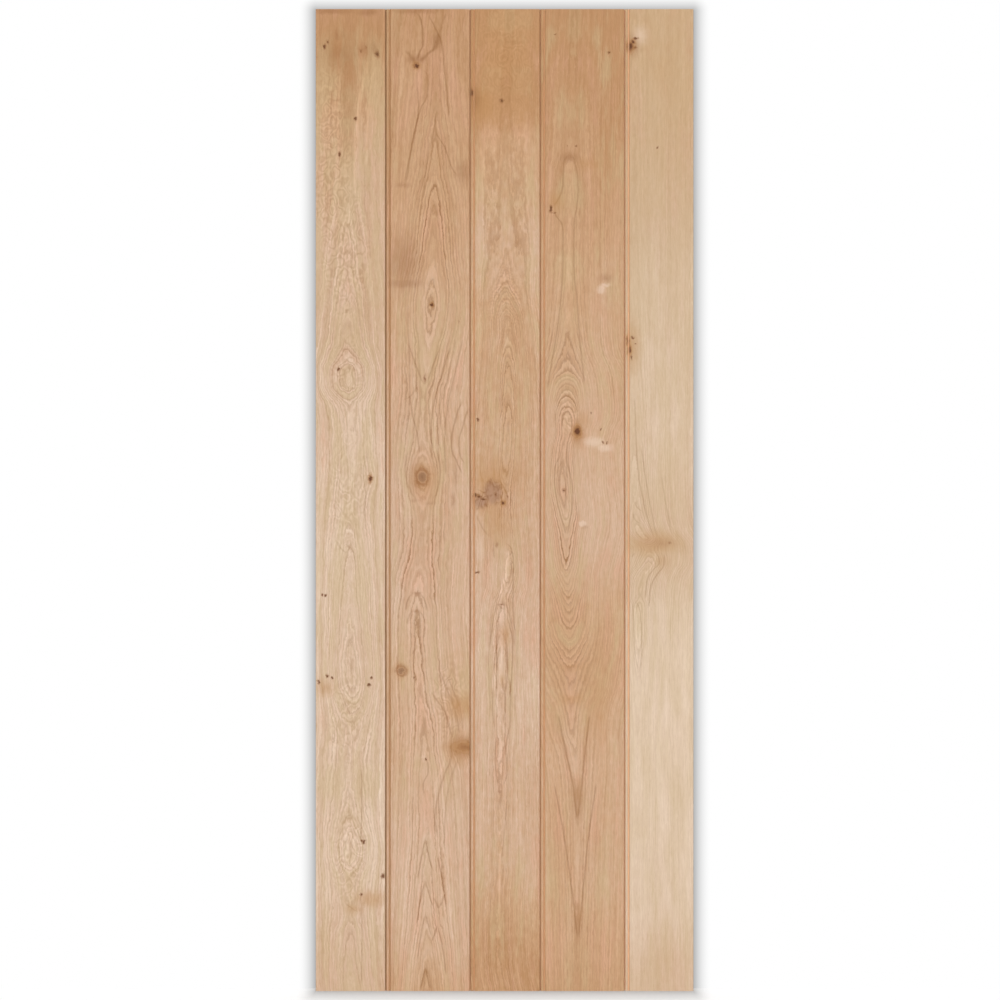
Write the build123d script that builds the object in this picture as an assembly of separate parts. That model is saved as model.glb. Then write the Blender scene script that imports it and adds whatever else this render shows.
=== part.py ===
from build123d import *
import os

# Ledged oak door leaf, without frame or ironmongery. Five upright boards, tongued and
# grooved with a bead at each joint, are held by three ledges across the back. Two
# screws go through each ledge into each board, under oak plugs.
#
# Millimetres. X runs across the leaf, from left to right as seen from the front. Y runs
# from the front of the boards to the back of the ledges, and Z is up. The origin is the
# middle of the leaf's foot.

# Leaf and boards. The last board is planed to whatever width the leaf has left.
LEAF_WIDTH = 762.0
LEAF_HEIGHT = 1981.0
FIRST_BOARD_FACE = 140.0
WIDE_BOARD_FACE = 168.25
NARROW_BOARD_FACE = 139.5
BOARD_THICKNESS = 20.0
JOINT_GAP = 2.0  # open joint between two boards, on the face and on the back
BOARD_ARRIS = 0.8  # chamfer that eases a board's long edges

# Bead on the tongued edge, and the quirk that parts it from the board's face
BEAD_DIAMETER = 6.5
BEAD_SINK = 0.3  # the bead's crown lies this far below the face
QUIRK_WIDTH = 3.0  # at the face
QUIRK_FLOOR = 0.9  # flat at the bottom, beside the bead

# Tongue and groove, in the middle of the board's thickness
TONGUE_THICKNESS = 6.0
TONGUE_REACH = 6.0  # how far the tongue enters the groove
TONGUE_CHAMFER = 0.8
GROOVE_END_ROOM = 1.0  # left for the boards to swell
GROOVE_SIDE_ROOM = 0.15

# Ledges
LEDGE_THICKNESS = 20.0
LEDGE_WIDTH = 140.0
LEDGE_SETBACK = 20.0  # from each side of the leaf, to clear the door stops
LEDGE_CHAMFER = 6.0
BOTTOM_LEDGE_RISE = 230.0  # from the foot of the leaf to the ledge's centre line
TOP_LEDGE_DROP = 200.0  # from the head of the leaf to the ledge's centre line

# Screws, and the plugs that hide their heads
SCREW_DIAMETER = 4.5
SCREW_HEAD_DIAMETER = 9.0  # of a 90 degree cone
SCREW_TIP_LENGTH = 4.0
SCREW_TIP_COVER = 3.0  # wood left between the tip and the face of the board
SCREW_EDGE_INSET = 40.0  # from the edges of a board's face
SCREW_STAGGER = 35.0  # above or below the ledge's centre line
CLEARANCE_HOLE_DIAMETER = 5.0
PLUG_HOLE_DIAMETER = 10.0
PLUG_LENGTH = 7.0
PLUG_GLUE_LINE = 0.05
PLUG_HEAD_ROOM = 0.5  # between the plug and the screw's head

# Places that follow from the sizes
FIRST_FACES = (FIRST_BOARD_FACE, WIDE_BOARD_FACE, NARROW_BOARD_FACE, WIDE_BOARD_FACE)
LAST_BOARD_FACE = LEAF_WIDTH - sum(FIRST_FACES) - JOINT_GAP * len(FIRST_FACES)
FRONT_Y = -(BOARD_THICKNESS + LEDGE_THICKNESS) / 2
BOARD_MIDDLE_Y = FRONT_Y + BOARD_THICKNESS / 2
BOARD_BACK_Y = FRONT_Y + BOARD_THICKNESS
LEDGE_BACK_Y = BOARD_BACK_Y + LEDGE_THICKNESS
TOP_LEDGE_Z = LEAF_HEIGHT - TOP_LEDGE_DROP
LEDGE_HEIGHTS = {
    "bottom": BOTTOM_LEDGE_RISE,
    "middle": (BOTTOM_LEDGE_RISE + TOP_LEDGE_Z) / 2,
    "top": TOP_LEDGE_Z,
}
SCREW_HEAD_Y = LEDGE_BACK_Y - PLUG_LENGTH - PLUG_HEAD_ROOM
OUTSIDE = 1.0  # how far a cut runs past the surface that it opens


def board_spans():
    """Gives the left and right edges of each board's face, from left to right."""
    spans = []
    left = -LEAF_WIDTH / 2
    for width in (*FIRST_FACES, LAST_BOARD_FACE):
        spans.append((left, left + width))
        left += width + JOINT_GAP
    return spans


def bead_waste(edge):
    """The section planed away to leave a bead and its quirk at a board's left edge."""
    bead_radius = BEAD_DIAMETER / 2
    outside_y = FRONT_Y - OUTSIDE
    spring_y = FRONT_Y + BEAD_SINK + bead_radius
    bead_end = edge + BEAD_DIAMETER
    bead = ThreePointArc(
        (edge, spring_y),
        (edge + bead_radius, FRONT_Y + BEAD_SINK),
        (bead_end, spring_y),
    )
    quirk = Polyline(
        (bead_end, spring_y),
        (bead_end + QUIRK_FLOOR, spring_y),
        (bead_end + QUIRK_WIDTH, FRONT_Y),
        (bead_end + QUIRK_WIDTH, outside_y),
        (edge - OUTSIDE, outside_y),
        (edge - OUTSIDE, spring_y),
        (edge, spring_y),
    )
    return make_face(bead.edges() + quirk.edges())


def tongue(edge):
    """The section of a tongue, which stands out of a board's left edge."""
    length = JOINT_GAP + TONGUE_REACH
    blank = Rectangle(length, TONGUE_THICKNESS)
    tip = blank.vertices().group_by(Axis.X)[0]
    return Pos(edge - length / 2, BOARD_MIDDLE_Y) * chamfer(tip, TONGUE_CHAMFER)


def groove(edge):
    """The section of a groove, which is cut into a board's right edge."""
    depth = TONGUE_REACH + GROOVE_END_ROOM
    height = TONGUE_THICKNESS + 2 * GROOVE_SIDE_ROOM
    middle = edge + (OUTSIDE - depth) / 2
    return Pos(middle, BOARD_MIDDLE_Y) * Rectangle(depth + OUTSIDE, height)


def board_section(left, right, tongued, grooved):
    """One board seen from above. The leaf's own edges have no joint."""
    section = Rectangle(right - left, BOARD_THICKNESS)
    section = chamfer(section.vertices(), BOARD_ARRIS)
    section = Pos((left + right) / 2, BOARD_MIDDLE_Y) * section
    if tongued:
        section = section - bead_waste(left) + tongue(left)
    if grooved:
        section -= groove(right)
    return section


def screw_places(ledge_z):
    """The X and Z of each screw in a ledge: two to a board, one high and one low."""
    places = []
    for left, right in board_spans():
        places.append((left + SCREW_EDGE_INSET, ledge_z + SCREW_STAGGER))
        places.append((right - SCREW_EDGE_INSET, ledge_z - SCREW_STAGGER))
    return places


def turned(*outline):
    """Turns an outline of radius and Y about the Y axis."""
    return revolve(make_face(Polyline(*outline, close=True)), Axis.Y)


def screw_outline():
    """Radius and Y down a screw's shank and point, from its head's cone to its tip."""
    radius = SCREW_DIAMETER / 2
    head_radius = SCREW_HEAD_DIAMETER / 2
    tip_y = FRONT_Y + SCREW_TIP_COVER
    return [
        (radius, SCREW_HEAD_Y - (head_radius - radius)),
        (radius, tip_y + SCREW_TIP_LENGTH),
        (0, tip_y),
    ]


def screw():
    """One countersunk screw on the Y axis, its head towards the back of the door."""
    rim = (SCREW_HEAD_DIAMETER / 2, SCREW_HEAD_Y)
    return turned((0, SCREW_HEAD_Y), rim, *screw_outline())


def pilot_hole():
    """The blind hole that a screw cuts in a board, of the screw's own shape."""
    neck, *point = screw_outline()
    return turned((0, neck[1]), neck, *point)


def plug():
    """One plug on the Y axis, flush with the back of its ledge."""
    radius = PLUG_HOLE_DIAMETER / 2 - PLUG_GLUE_LINE
    inner_y = LEDGE_BACK_Y - PLUG_LENGTH
    return turned(
        (0, LEDGE_BACK_Y), (radius, LEDGE_BACK_Y), (radius, inner_y), (0, inner_y)
    )


def ledge_hole():
    """The hole bored through a ledge: plug hole, seat of the head, clearance hole."""
    plug_radius = PLUG_HOLE_DIAMETER / 2
    shank_radius = CLEARANCE_HOLE_DIAMETER / 2
    # The seat is the cone of the screw's head, carried on to the wider hole above it.
    cone_tip_y = SCREW_HEAD_Y - SCREW_HEAD_DIAMETER / 2
    return turned(
        (0, LEDGE_BACK_Y + OUTSIDE),
        (plug_radius, LEDGE_BACK_Y + OUTSIDE),
        (plug_radius, cone_tip_y + plug_radius),
        (shank_radius, cone_tip_y + shank_radius),
        (shank_radius, BOARD_BACK_Y - OUTSIDE),
        (0, BOARD_BACK_Y - OUTSIDE),
    )


def at_places(piece, places):
    """Copies of a piece, moved to each X and Z."""
    return [Pos(x, 0, z) * piece for x, z in places]


def make_board(left, right, tongued, grooved):
    """One board at its full height, with the blind holes that its screws cut."""
    board = extrude(board_section(left, right, tongued, grooved), LEAF_HEIGHT)
    for ledge_z in LEDGE_HEIGHTS.values():
        here = [place for place in screw_places(ledge_z) if left < place[0] < right]
        board -= at_places(pilot_hole(), here)
    return board


def make_ledge(ledge_z):
    """One ledge, chamfered round its back, with its screw holes."""
    length = LEAF_WIDTH - 2 * LEDGE_SETBACK
    ledge = Box(length, LEDGE_THICKNESS, LEDGE_WIDTH)
    ledge = chamfer(ledge.faces().sort_by(Axis.Y)[-1].edges(), LEDGE_CHAMFER)
    ledge = Pos(0, BOARD_BACK_Y + LEDGE_THICKNESS / 2, ledge_z) * ledge
    return ledge - at_places(ledge_hole(), screw_places(ledge_z))


def make_nodes():
    """Every piece of the door by its node's name."""
    nodes = {}
    spans = board_spans()
    for number, (left, right) in enumerate(spans, start=1):
        tongued = number > 1
        grooved = number < len(spans)
        nodes[f"board_{number}"] = make_board(left, right, tongued, grooved)
    for name, ledge_z in LEDGE_HEIGHTS.items():
        places = screw_places(ledge_z)
        nodes[f"ledge_{name}"] = make_ledge(ledge_z)
        nodes[f"screws_{name}"] = Compound(at_places(screw(), places))
        nodes[f"plugs_{name}"] = Compound(at_places(plug(), places))
    return nodes


os.makedirs("parts", exist_ok=True)
for node, shape in make_nodes().items():
    export_step(shape, f"parts/{node}.step")
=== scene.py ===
"""Finishes, light and camera for a ledged oak door leaf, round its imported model.

Five tongued and grooved boards show the photographed figure: cathedrals, ovals, knots
and honey patches. It is a solid wood field, so each face of a board, its end and its
moulded edge show the same rings cut in another direction. Heights and distances that
place the figure are real millimetres on the door: across from its middle, and up from
its foot.
"""

from __future__ import annotations

import logging
import math
from dataclasses import dataclass
from enum import Enum
from typing import Union

import bpy
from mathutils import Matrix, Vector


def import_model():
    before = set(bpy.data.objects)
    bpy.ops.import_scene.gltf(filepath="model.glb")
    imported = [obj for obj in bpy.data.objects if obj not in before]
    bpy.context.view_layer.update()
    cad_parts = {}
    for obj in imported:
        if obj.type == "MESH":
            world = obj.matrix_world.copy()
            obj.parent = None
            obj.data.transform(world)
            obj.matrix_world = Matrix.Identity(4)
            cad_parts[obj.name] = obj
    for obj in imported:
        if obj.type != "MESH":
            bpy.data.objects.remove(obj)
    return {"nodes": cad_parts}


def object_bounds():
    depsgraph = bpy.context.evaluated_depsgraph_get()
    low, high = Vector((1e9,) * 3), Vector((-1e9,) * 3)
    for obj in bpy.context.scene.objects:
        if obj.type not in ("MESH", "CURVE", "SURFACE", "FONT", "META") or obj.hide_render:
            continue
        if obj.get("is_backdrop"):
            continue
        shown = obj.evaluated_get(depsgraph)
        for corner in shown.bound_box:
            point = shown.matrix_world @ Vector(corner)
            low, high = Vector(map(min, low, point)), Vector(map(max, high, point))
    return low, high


LOG = logging.getLogger("ledged_door")
MM_PER_M = 1000.0
LEAF_HEIGHT = 1981.0
LEAF_WIDTH = 762.0
BOARD_FRONT = -20.0
BOARD_BACK = 0.0

Colour = tuple[float, float, float, float]
Corner = tuple[float, float, float]
Course = Union[dict[float, float], float]
Feed = Union[bpy.types.NodeSocket, float, tuple]


def linear(code: str) -> Colour:
    """Turns a colour as it is seen on screen into the linear one that shaders take.

    Args:
        code: Six hexadecimal digits after a hash sign.

    Returns:
        Red, green, blue and an alpha of one.
    """
    parts = [int(code[start : start + 2], 16) / 255 for start in (1, 3, 5)]
    bent = [p / 12.92 if p <= 0.04045 else ((p + 0.055) / 1.055) ** 2.4 for p in parts]
    return (bent[0], bent[1], bent[2], 1.0)


class Tone(Enum):
    """The colours that the oak, its marks and its fixings are mixed from, and the painted shade in
    the joints between its boards.
    """

    CREAM = "#e6cfb8"
    STRAW = "#dcc2a9"
    OAK = "#d0ae92"
    GOLD = "#c69d78"
    HONEY = "#b88a60"
    ROSE = "#d3a083"
    OLIVE = "#c4aa80"
    LINE = "#906338"
    KNOT = "#52260e"
    BURL = "#8a6457"
    # The seam tones below are painted shade: warm tints laid in the joints, where shade falls
    # between the boards.
    SEAM_SHADE = "#c1966a"
    WARM_SEAM_SHADE = "#d9ab80"
    PALE_SEAM_SHADE = "#eabd94"
    PIN = "#63391b"
    BROWN = "#8f5c33"
    AMBER = "#b5834d"
    PALE = "#ecd3bd"
    STEEL = "#b4b5b3"

    @property
    def rgba(self) -> Colour:
        """The tone as a linear colour."""
        return linear(self.value)


class Grain(Enum):
    """Which way the fibres of a piece run."""

    UP = "up"
    ACROSS = "across"


@dataclass(frozen=True)
class Noise:
    """An uneven pattern.

    Attributes:
        cells: The size of its cells across, below the face and along the grain.
        detail: How many finer patterns it has.
        roughness: How strong each of them is, as a share of the one before.
    """

    cells: tuple[float, float, float]
    detail: float = 2.0
    roughness: float = 0.5


# A noise mostly keeps within a quarter of a half, so this brings its swing to about one.
NOISE_GAIN = 4.0

# Growth rings. The noises' cells are in millimetres, and the rest is in ring widths.
BROAD_SWAY = Noise((30, 30, 120))
CLOSE_SWAY = Noise((12, 20, 34), 1.0)
SHIVER = Noise((5, 10, 15), 3.0, 0.65)
RING_BANDS = Noise((5 / 3, 1, 1), 2.0, 0.6)
HEART_FALL = 3.0  # the power with which the arches give way to straight lines
LINE_OUTSIDE = 0.46  # how far the early wood fades outwards
LINE_INSIDE = 0.16
GLEAM_OFFSET = 0.29  # from the early wood to the pale wood inside it
GLEAM_FADE = (0.02, 0.20)
FAINTEST_RING = 0.25

# Fibre. Cells are in millimetres.
STREAKS = Noise((2.6, 7, 190), 3.0, 0.65)
TICKS = Noise((1.9, 3, 26), 2.0, 0.7)
PORES = Noise((0.5, 0.5, 9), 1.0)
PORE_RISE = (0.56, 0.68)
CLOUDS = Noise((70, 70, 260))
MOTTLING = Noise((9, 9, 16), 3.0, 0.6)
BLUSHES = Noise((22, 30, 130), 3.0, 0.6)
RIPPLE_BEND = Noise((13, 16, 26), 3.0, 0.55)
RIPPLE_LENGTH = 8.0
RIPPLE_SWING = 27.0  # radians
RIPPLE_PATCHES = (0.86, 1.12)
SWIRL_TURN = Noise((26, 26, 38), 2.0, 0.45)
SWIRL_SWING = 52.0  # radians

# Marks and veins. Lengths are in millimetres.
RAGGED_EDGES = Noise((9, 9, 9), 4.0, 0.7)
MARK_RAGGEDNESS = 6.0
VEIN_RAGGEDNESS = 1.6
MARK_LIMIT = 2.0  # where a mark's closeness is 0, in radii
VEIN_FADE = 14.0  # at each end, or a quarter of a short vein
VEIN_FADE_SHARE = 0.25

# Colour
TONE_START = 0.25  # the place of a tone of 0 on the ramp from cream to honey
MEAN_BLUSH = 0.48
ROSE_BLUSH = 0.72
OLIVE_BLUSH = 0.26
BLUSH_SHARE = 0.45
SHADE_GAIN = (1.0, 1.30, 1.70)  # of red, green and blue
PORE_SHARE = 0.10
FINE_TONE = 0.30
FINE_SHADE = -0.42
GLEAM_SHADE = 0.12
PALE_VEIN_SHADE = -0.30
CURL_SHADE = 0.085
CURL_RISE = (0.05, 0.6)

# Lines
DARK_RING = 0.45  # what a ring that stands out gains
FAINT_PATCH = 0.40
FAINT_RISE = (0.36, 0.60)
KNOT_COIL = 34.0  # radians from a knot's rim to its centre
KNOT_COIL_RISE = (0.1, 0.35)
KNOT_COIL_SHARE = 0.40
BURL_RISE = (0.3, 0.6)
BURL_SHARE = 0.65

# Painted shade in the joints between the boards, in millimetres
SEAM_SHADE_RISE = (0.4, 2.0)  # below the face
SEAM_SHADE_FALL = (12.0, 16.0)
SEAM_SHADE_SHARE = 0.80
SIDE_MARGIN = 2.0
END_MARGIN = 0.5

# Satin surface
OAK_ROUGHNESS = 0.52
OAK_GLOSS = 0.3
SUNK_ROUGHNESS = 0.10
SUNK_LINE = 0.35
BUMP_STRENGTH = 0.35
BUMP_DEPTH = 0.0002  # metres


class Graph:
    """Adds nodes to one node tree and joins them."""

    def __init__(self, tree: bpy.types.NodeTree) -> None:
        """Keeps the tree that the nodes go into."""
        self.tree = tree

    def node(self, kind: str, **settings: object) -> bpy.types.Node:
        """Adds a node.

        Args:
            kind: The node's type name.
            settings: Properties of the node, by name.

        Returns:
            The new node.
        """
        made = self.tree.nodes.new(kind)
        for name, value in settings.items():
            setattr(made, name, value)
        return made

    def feed(self, socket: bpy.types.NodeSocket, value: Feed) -> None:
        """Joins a socket to what feeds it, or sets its value.

        Args:
            socket: The socket.
            value: What feeds it, or its value.
        """
        if isinstance(value, bpy.types.NodeSocket):
            self.tree.links.new(value, socket)
        elif socket.type == "VECTOR" and isinstance(value, float):
            socket.default_value = (value, value, value)
        else:
            socket.default_value = value

    def fill(self, node: bpy.types.Node, values: tuple[Feed, ...]) -> bpy.types.NodeSocket:
        """Feeds a node's inputs.

        Args:
            node: The node.
            values: What goes into its inputs, in order.

        Returns:
            Its first output.
        """
        for socket, value in zip(node.inputs, values):
            self.feed(socket, value)
        return node.outputs[0]

    def math(self, operation: str, *values: Feed, clamp: bool = False) -> bpy.types.NodeSocket:
        """Adds one step of arithmetic.

        Args:
            operation: The Math node's operation.
            values: What goes into its inputs, in order.
            clamp: Whether the result is kept between 0 and 1.

        Returns:
            The result's socket.
        """
        return self.fill(self.node("ShaderNodeMath", operation=operation, use_clamp=clamp), values)

    def vector_math(self, operation: str, *values: Feed) -> bpy.types.NodeSocket:
        """Adds one step of arithmetic on vectors or colours."""
        return self.fill(self.node("ShaderNodeVectorMath", operation=operation), values)

    def total(self, *values: Feed) -> bpy.types.NodeSocket:
        """Adds any number of values up.

        Args:
            values: The values.

        Returns:
            Their sum.
        """
        result = values[0]
        for value in values[1:]:
            result = self.math("ADD", result, value)
        return result

    def split(self, vector: bpy.types.NodeSocket) -> tuple[bpy.types.NodeSocket, ...]:
        """Takes a vector apart.

        Args:
            vector: The vector.

        Returns:
            Its three parts.
        """
        made = self.node("ShaderNodeSeparateXYZ")
        self.feed(made.inputs[0], vector)
        return tuple(made.outputs)

    def join(self, *parts: Feed) -> bpy.types.NodeSocket:
        """A vector of three values."""
        return self.fill(self.node("ShaderNodeCombineXYZ"), parts)

    def stretch(self, vector: Feed, sizes: Corner, shift: Feed) -> bpy.types.NodeSocket:
        """Measures a vector in cells of the given sizes, and adds a shift."""
        return self.vector_math("MULTIPLY_ADD", vector, tuple(1 / size for size in sizes), shift)

    def scatter(self, position: Feed, noise: Noise, shift: Feed) -> bpy.types.Node:
        """Adds a noise's node.

        Args:
            position: The position, in the unit of the noise's cells.
            noise: The noise.
            shift: Picks another part of it.

        Returns:
            The node.
        """
        made = self.node("ShaderNodeTexNoise", noise_dimensions="3D")
        self.feed(made.inputs["Vector"], self.stretch(position, noise.cells, shift))
        made.inputs["Scale"].default_value = 1.0
        made.inputs["Detail"].default_value = noise.detail
        made.inputs["Roughness"].default_value = noise.roughness
        return made

    def noise(self, position: Feed, noise: Noise, shift: Feed) -> bpy.types.NodeSocket:
        """A noise from 0 to 1, mostly near a half."""
        return self.scatter(position, noise, shift).outputs["Fac"]

    def about_zero(self, noise: bpy.types.NodeSocket, reach: Feed) -> bpy.types.NodeSocket:
        """Turns a noise into one that swings each side of zero by about the reach."""
        centred = self.math("MULTIPLY_ADD", noise, NOISE_GAIN, -NOISE_GAIN / 2)
        return self.math("MULTIPLY", centred, reach)

    def ease(self, value: Feed, low: Feed, high: Feed) -> bpy.types.NodeSocket:
        """Rises smoothly from 0 to 1.

        Args:
            value: What it follows.
            low: Where it is 0.
            high: Where it is 1, which may be lower.

        Returns:
            The number from 0 to 1.
        """
        made = self.node("ShaderNodeMapRange", interpolation_type="SMOOTHSTEP")
        for name, feed in (("Value", value), ("From Min", low), ("From Max", high)):
            self.feed(made.inputs[name], feed)
        return made.outputs["Result"]

    def blend(self, low: Feed, high: Feed, share: Feed) -> bpy.types.NodeSocket:
        """Mixes two colours.

        Args:
            low: The colour at a share of 0.
            high: The colour at a share of 1.
            share: How far to go from the first to the second.

        Returns:
            The mixed colour.
        """
        made = self.node("ShaderNodeMix", data_type="RGBA")
        self.feed(made.inputs["Factor"], share)
        colours = [s for s in made.inputs if s.type == "RGBA"]
        self.feed(colours[0], low)
        self.feed(colours[1], high)
        return next(s for s in made.outputs if s.type == "RGBA")

    def course(self, along: Feed, course: Course) -> Feed:
        """Follows a value that changes along a piece.

        Args:
            along: The place along the piece, in millimetres.
            course: The value by the place, in any order, or one value for every place.

        Returns:
            The value at that place.
        """
        if not isinstance(course, dict):
            return float(course)
        ordered = sorted(course.items())
        start = float(ordered[0][0])
        length = float(ordered[-1][0] - start)
        low = min(course.values())
        span = max(course.values()) - low
        made = self.node("ShaderNodeFloatCurve")
        share = self.math("DIVIDE", self.math("SUBTRACT", along, start), length, clamp=True)
        self.feed(made.inputs["Value"], share)
        curve = made.mapping.curves[0]
        while len(curve.points) < len(ordered):
            curve.points.new(0.5, 0.5)
        for knot, (place, value) in zip(curve.points, ordered):
            knot.location = ((place - start) / length, (value - low) / span)
            knot.handle_type = "AUTO_CLAMPED"
        made.mapping.update()
        return self.math("MULTIPLY_ADD", made.outputs[0], span, low)

    def place(self, group: bpy.types.NodeTree, **inputs: Feed) -> dict[str, bpy.types.NodeSocket]:
        """Places a node group.

        Args:
            group: The group's tree.
            inputs: What feeds its inputs, by name with underscores for spaces.

        Returns:
            Its outputs by name.
        """
        made = self.node("ShaderNodeGroup", node_tree=group)
        for name, value in inputs.items():
            self.feed(made.inputs[name.replace("_", " ")], value)
        return {socket.name: socket for socket in made.outputs}


class Socket(Enum):
    """The kinds of socket that the groups below have."""

    NUMBER = "NodeSocketFloat"
    VECTOR = "NodeSocketVector"
    COLOUR = "NodeSocketColor"


POSITION = {"Position": Socket.VECTOR}


def numbers(*names: str) -> dict[str, Socket]:
    """Sockets for numbers, of the given names."""
    return dict.fromkeys(names, Socket.NUMBER)


class Group:
    """A shader node group while it is being built."""

    def __init__(self, name: str, inputs: dict[str, Socket], outputs: dict[str, Socket]) -> None:
        """Starts the group.

        Args:
            name: The group's name.
            inputs: Its inputs, by name.
            outputs: Its outputs, by name.
        """
        self.tree = bpy.data.node_groups.new(name, "ShaderNodeTree")
        for title, kind in inputs.items():
            self.tree.interface.new_socket(title, in_out="INPUT", socket_type=kind.value)
        for title, kind in outputs.items():
            self.tree.interface.new_socket(title, in_out="OUTPUT", socket_type=kind.value)
        self.graph = Graph(self.tree)
        self.given = self.graph.node("NodeGroupInput").outputs
        self.results = self.graph.node("NodeGroupOutput").inputs

    def finish(self, **results: Feed) -> bpy.types.NodeTree:
        """Feeds the group's outputs.

        Args:
            results: What feeds them, by name.

        Returns:
            The group's tree.
        """
        for name, value in results.items():
            self.graph.feed(self.results[name], value)
        return self.tree


def build_rings() -> bpy.types.NodeTree:
    """Growth rings round a pith that wanders along the piece.

    Taper is the number of the ring that shows over the pith, so an arch has its apex
    where it is a whole number. Core is how many rings the pith lies off the face, which
    rounds the apex. Away from the pith, past Spread, the lines stand nearly straight and
    follow Base. The dark early wood is sharp on its inner side and fades on its outer
    side, and Gleam is the pale wood just inside it. Heart is 1 over the pith and 0 past
    Spread.

    Returns:
        The group. Position is across, below the face and along the grain.
    """
    courses = numbers("Pith Across", "Taper", "Core", "Base", "Spread")
    group = Group(
        "Growth Rings",
        POSITION | courses | numbers("Ring Width", "Lift", "Wander", "Shiver", "Seed"),
        numbers("Line", "Edge", "Number", "Gleam", "Heart", "Band", "Rings"),
    )
    graph, source = group.graph, group.given
    position, seed, width = source["Position"], source["Seed"], source["Ring Width"]
    across, depth, _ = graph.split(position)
    broad = graph.noise(position, BROAD_SWAY, seed)
    close = graph.noise(position, CLOSE_SWAY, seed)
    sway = graph.about_zero(graph.math("ADD", broad, close), source["Wander"])
    sway = graph.math("SUBTRACT", sway, graph.math("MULTIPLY", source["Wander"], NOISE_GAIN / 2))
    shiver = graph.about_zero(graph.noise(position, SHIVER, seed), source["Shiver"])
    aside = graph.math("SUBTRACT", across, source["Pith Across"])
    sideways = graph.math("DIVIDE", aside, width)
    inwards = graph.math("ADD", source["Core"], graph.math("DIVIDE", depth, width))
    squares = graph.math("MULTIPLY_ADD", sideways, sideways, graph.math("POWER", inwards, 2.0))
    radial = graph.math("SUBTRACT", graph.math("SQRT", squares), source["Core"])
    share = graph.math("DIVIDE", graph.math("ABSOLUTE", aside), source["Spread"])
    fall = graph.math("MULTIPLY", graph.math("POWER", share, HEART_FALL), -1.0)
    heart = graph.math("EXPONENT", fall)
    climb = graph.math("SUBTRACT", source["Taper"], source["Base"])
    arch = graph.math("MULTIPLY_ADD", climb, heart, source["Base"])
    rings = graph.total(radial, arch, source["Lift"], sway, shiver)
    shifted = graph.math("ADD", rings, 0.5)
    number = graph.math("FLOOR", shifted)
    past = graph.math("SUBTRACT", graph.math("SUBTRACT", shifted, number), 0.5)
    outside = graph.math("DIVIDE", past, LINE_OUTSIDE)
    inside = graph.math("DIVIDE", past, -LINE_INSIDE)
    line = graph.math("SUBTRACT", 1.0, graph.ease(graph.math("MAXIMUM", outside, inside), 0.0, 1.0))
    off_gleam = graph.math("ABSOLUTE", graph.math("ADD", past, GLEAM_OFFSET))
    gleam = graph.math("SUBTRACT", 1.0, graph.ease(off_gleam, *GLEAM_FADE))
    chance = graph.node("ShaderNodeTexWhiteNoise", noise_dimensions="1D")
    graph.feed(chance.inputs["W"], graph.math("ADD", number, seed))
    chance = chance.outputs["Value"]
    strength = graph.math("MULTIPLY_ADD", chance, 1 - FAINTEST_RING, FAINTEST_RING)
    return group.finish(
        Line=graph.math("MULTIPLY", line, strength),
        Edge=line,
        Number=number,
        Gleam=graph.math("MULTIPLY", gleam, strength),
        Heart=heart,
        Band=graph.noise(graph.join(rings, seed, 0.0), RING_BANDS, 0.0),
        Rings=rings,
    )


def build_fibre() -> bpy.types.NodeTree:
    """The fibre: streaks that follow the rings, ticks, pores, patches, ripple and swirl.

    Returns:
        The group. Position is as for the growth rings.
    """
    group = Group(
        "Oak Fibre",
        POSITION | numbers("Rings", "Ring Width", "Seed"),
        numbers("Streak", "Ticks", "Pores", "Cloud", "Mottle", "Blush", "Ripple", "Swirl"),
    )
    graph, source = group.graph, group.given
    position, seed = source["Position"], source["Seed"]
    _, depth, along = graph.split(position)
    outwards = graph.math("MULTIPLY", source["Rings"], source["Ring Width"])
    flow = graph.join(outwards, depth, along)
    blush = graph.noise(flow, BLUSHES, seed)
    mottle = graph.noise(position, MOTTLING, seed)
    bend = graph.math("MULTIPLY", graph.noise(position, RIPPLE_BEND, seed), RIPPLE_SWING)
    wave = graph.math("MULTIPLY_ADD", along, 2 * math.pi / RIPPLE_LENGTH, bend)
    patchy = graph.ease(graph.math("ADD", mottle, blush), *RIPPLE_PATCHES)
    turn = graph.math("MULTIPLY", graph.noise(position, SWIRL_TURN, seed), SWIRL_SWING)
    return group.finish(
        Streak=graph.noise(flow, STREAKS, seed),
        Ticks=graph.noise(position, TICKS, seed),
        Pores=graph.ease(graph.noise(position, PORES, seed), *PORE_RISE),
        Cloud=graph.noise(position, CLOUDS, seed),
        Mottle=mottle,
        Blush=blush,
        Ripple=graph.math("MULTIPLY", graph.math("SINE", wave), patchy),
        Swirl=graph.math("SINE", turn),
    )


def build_mark() -> bpy.types.NodeTree:
    """One oval mark on a face, and how it lifts the rings round it.

    Returns:
        The group. Closeness is 1 at the mark's centre, a half at its edge and 0 at twice
        its size. Lift fades out over Reach, in radii of the mark.
    """
    group = Group(
        "Mark",
        POSITION | numbers("Across", "Along", "Half Width", "Half Length", "Lift", "Reach"),
        numbers("Closeness", "Lift"),
    )
    graph, source = group.graph, group.given
    across, _, along = graph.split(source["Position"])
    squares = []
    for value, centre, half in (
        (across, source["Across"], source["Half Width"]),
        (along, source["Along"], source["Half Length"]),
    ):
        share = graph.math("DIVIDE", graph.math("SUBTRACT", value, centre), half)
        squares.append(graph.math("POWER", share, 2.0))
    square = graph.math("ADD", *squares)
    away = graph.math("SQRT", square)
    fall = graph.math("DIVIDE", square, graph.math("POWER", source["Reach"], 2.0))
    swell = graph.math("EXPONENT", graph.math("MULTIPLY", fall, -1.0))
    return group.finish(
        Closeness=graph.math("MULTIPLY_ADD", away, -1 / MARK_LIMIT, 1.0, clamp=True),
        Lift=graph.math("MULTIPLY", swell, source["Lift"]),
    )


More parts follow.
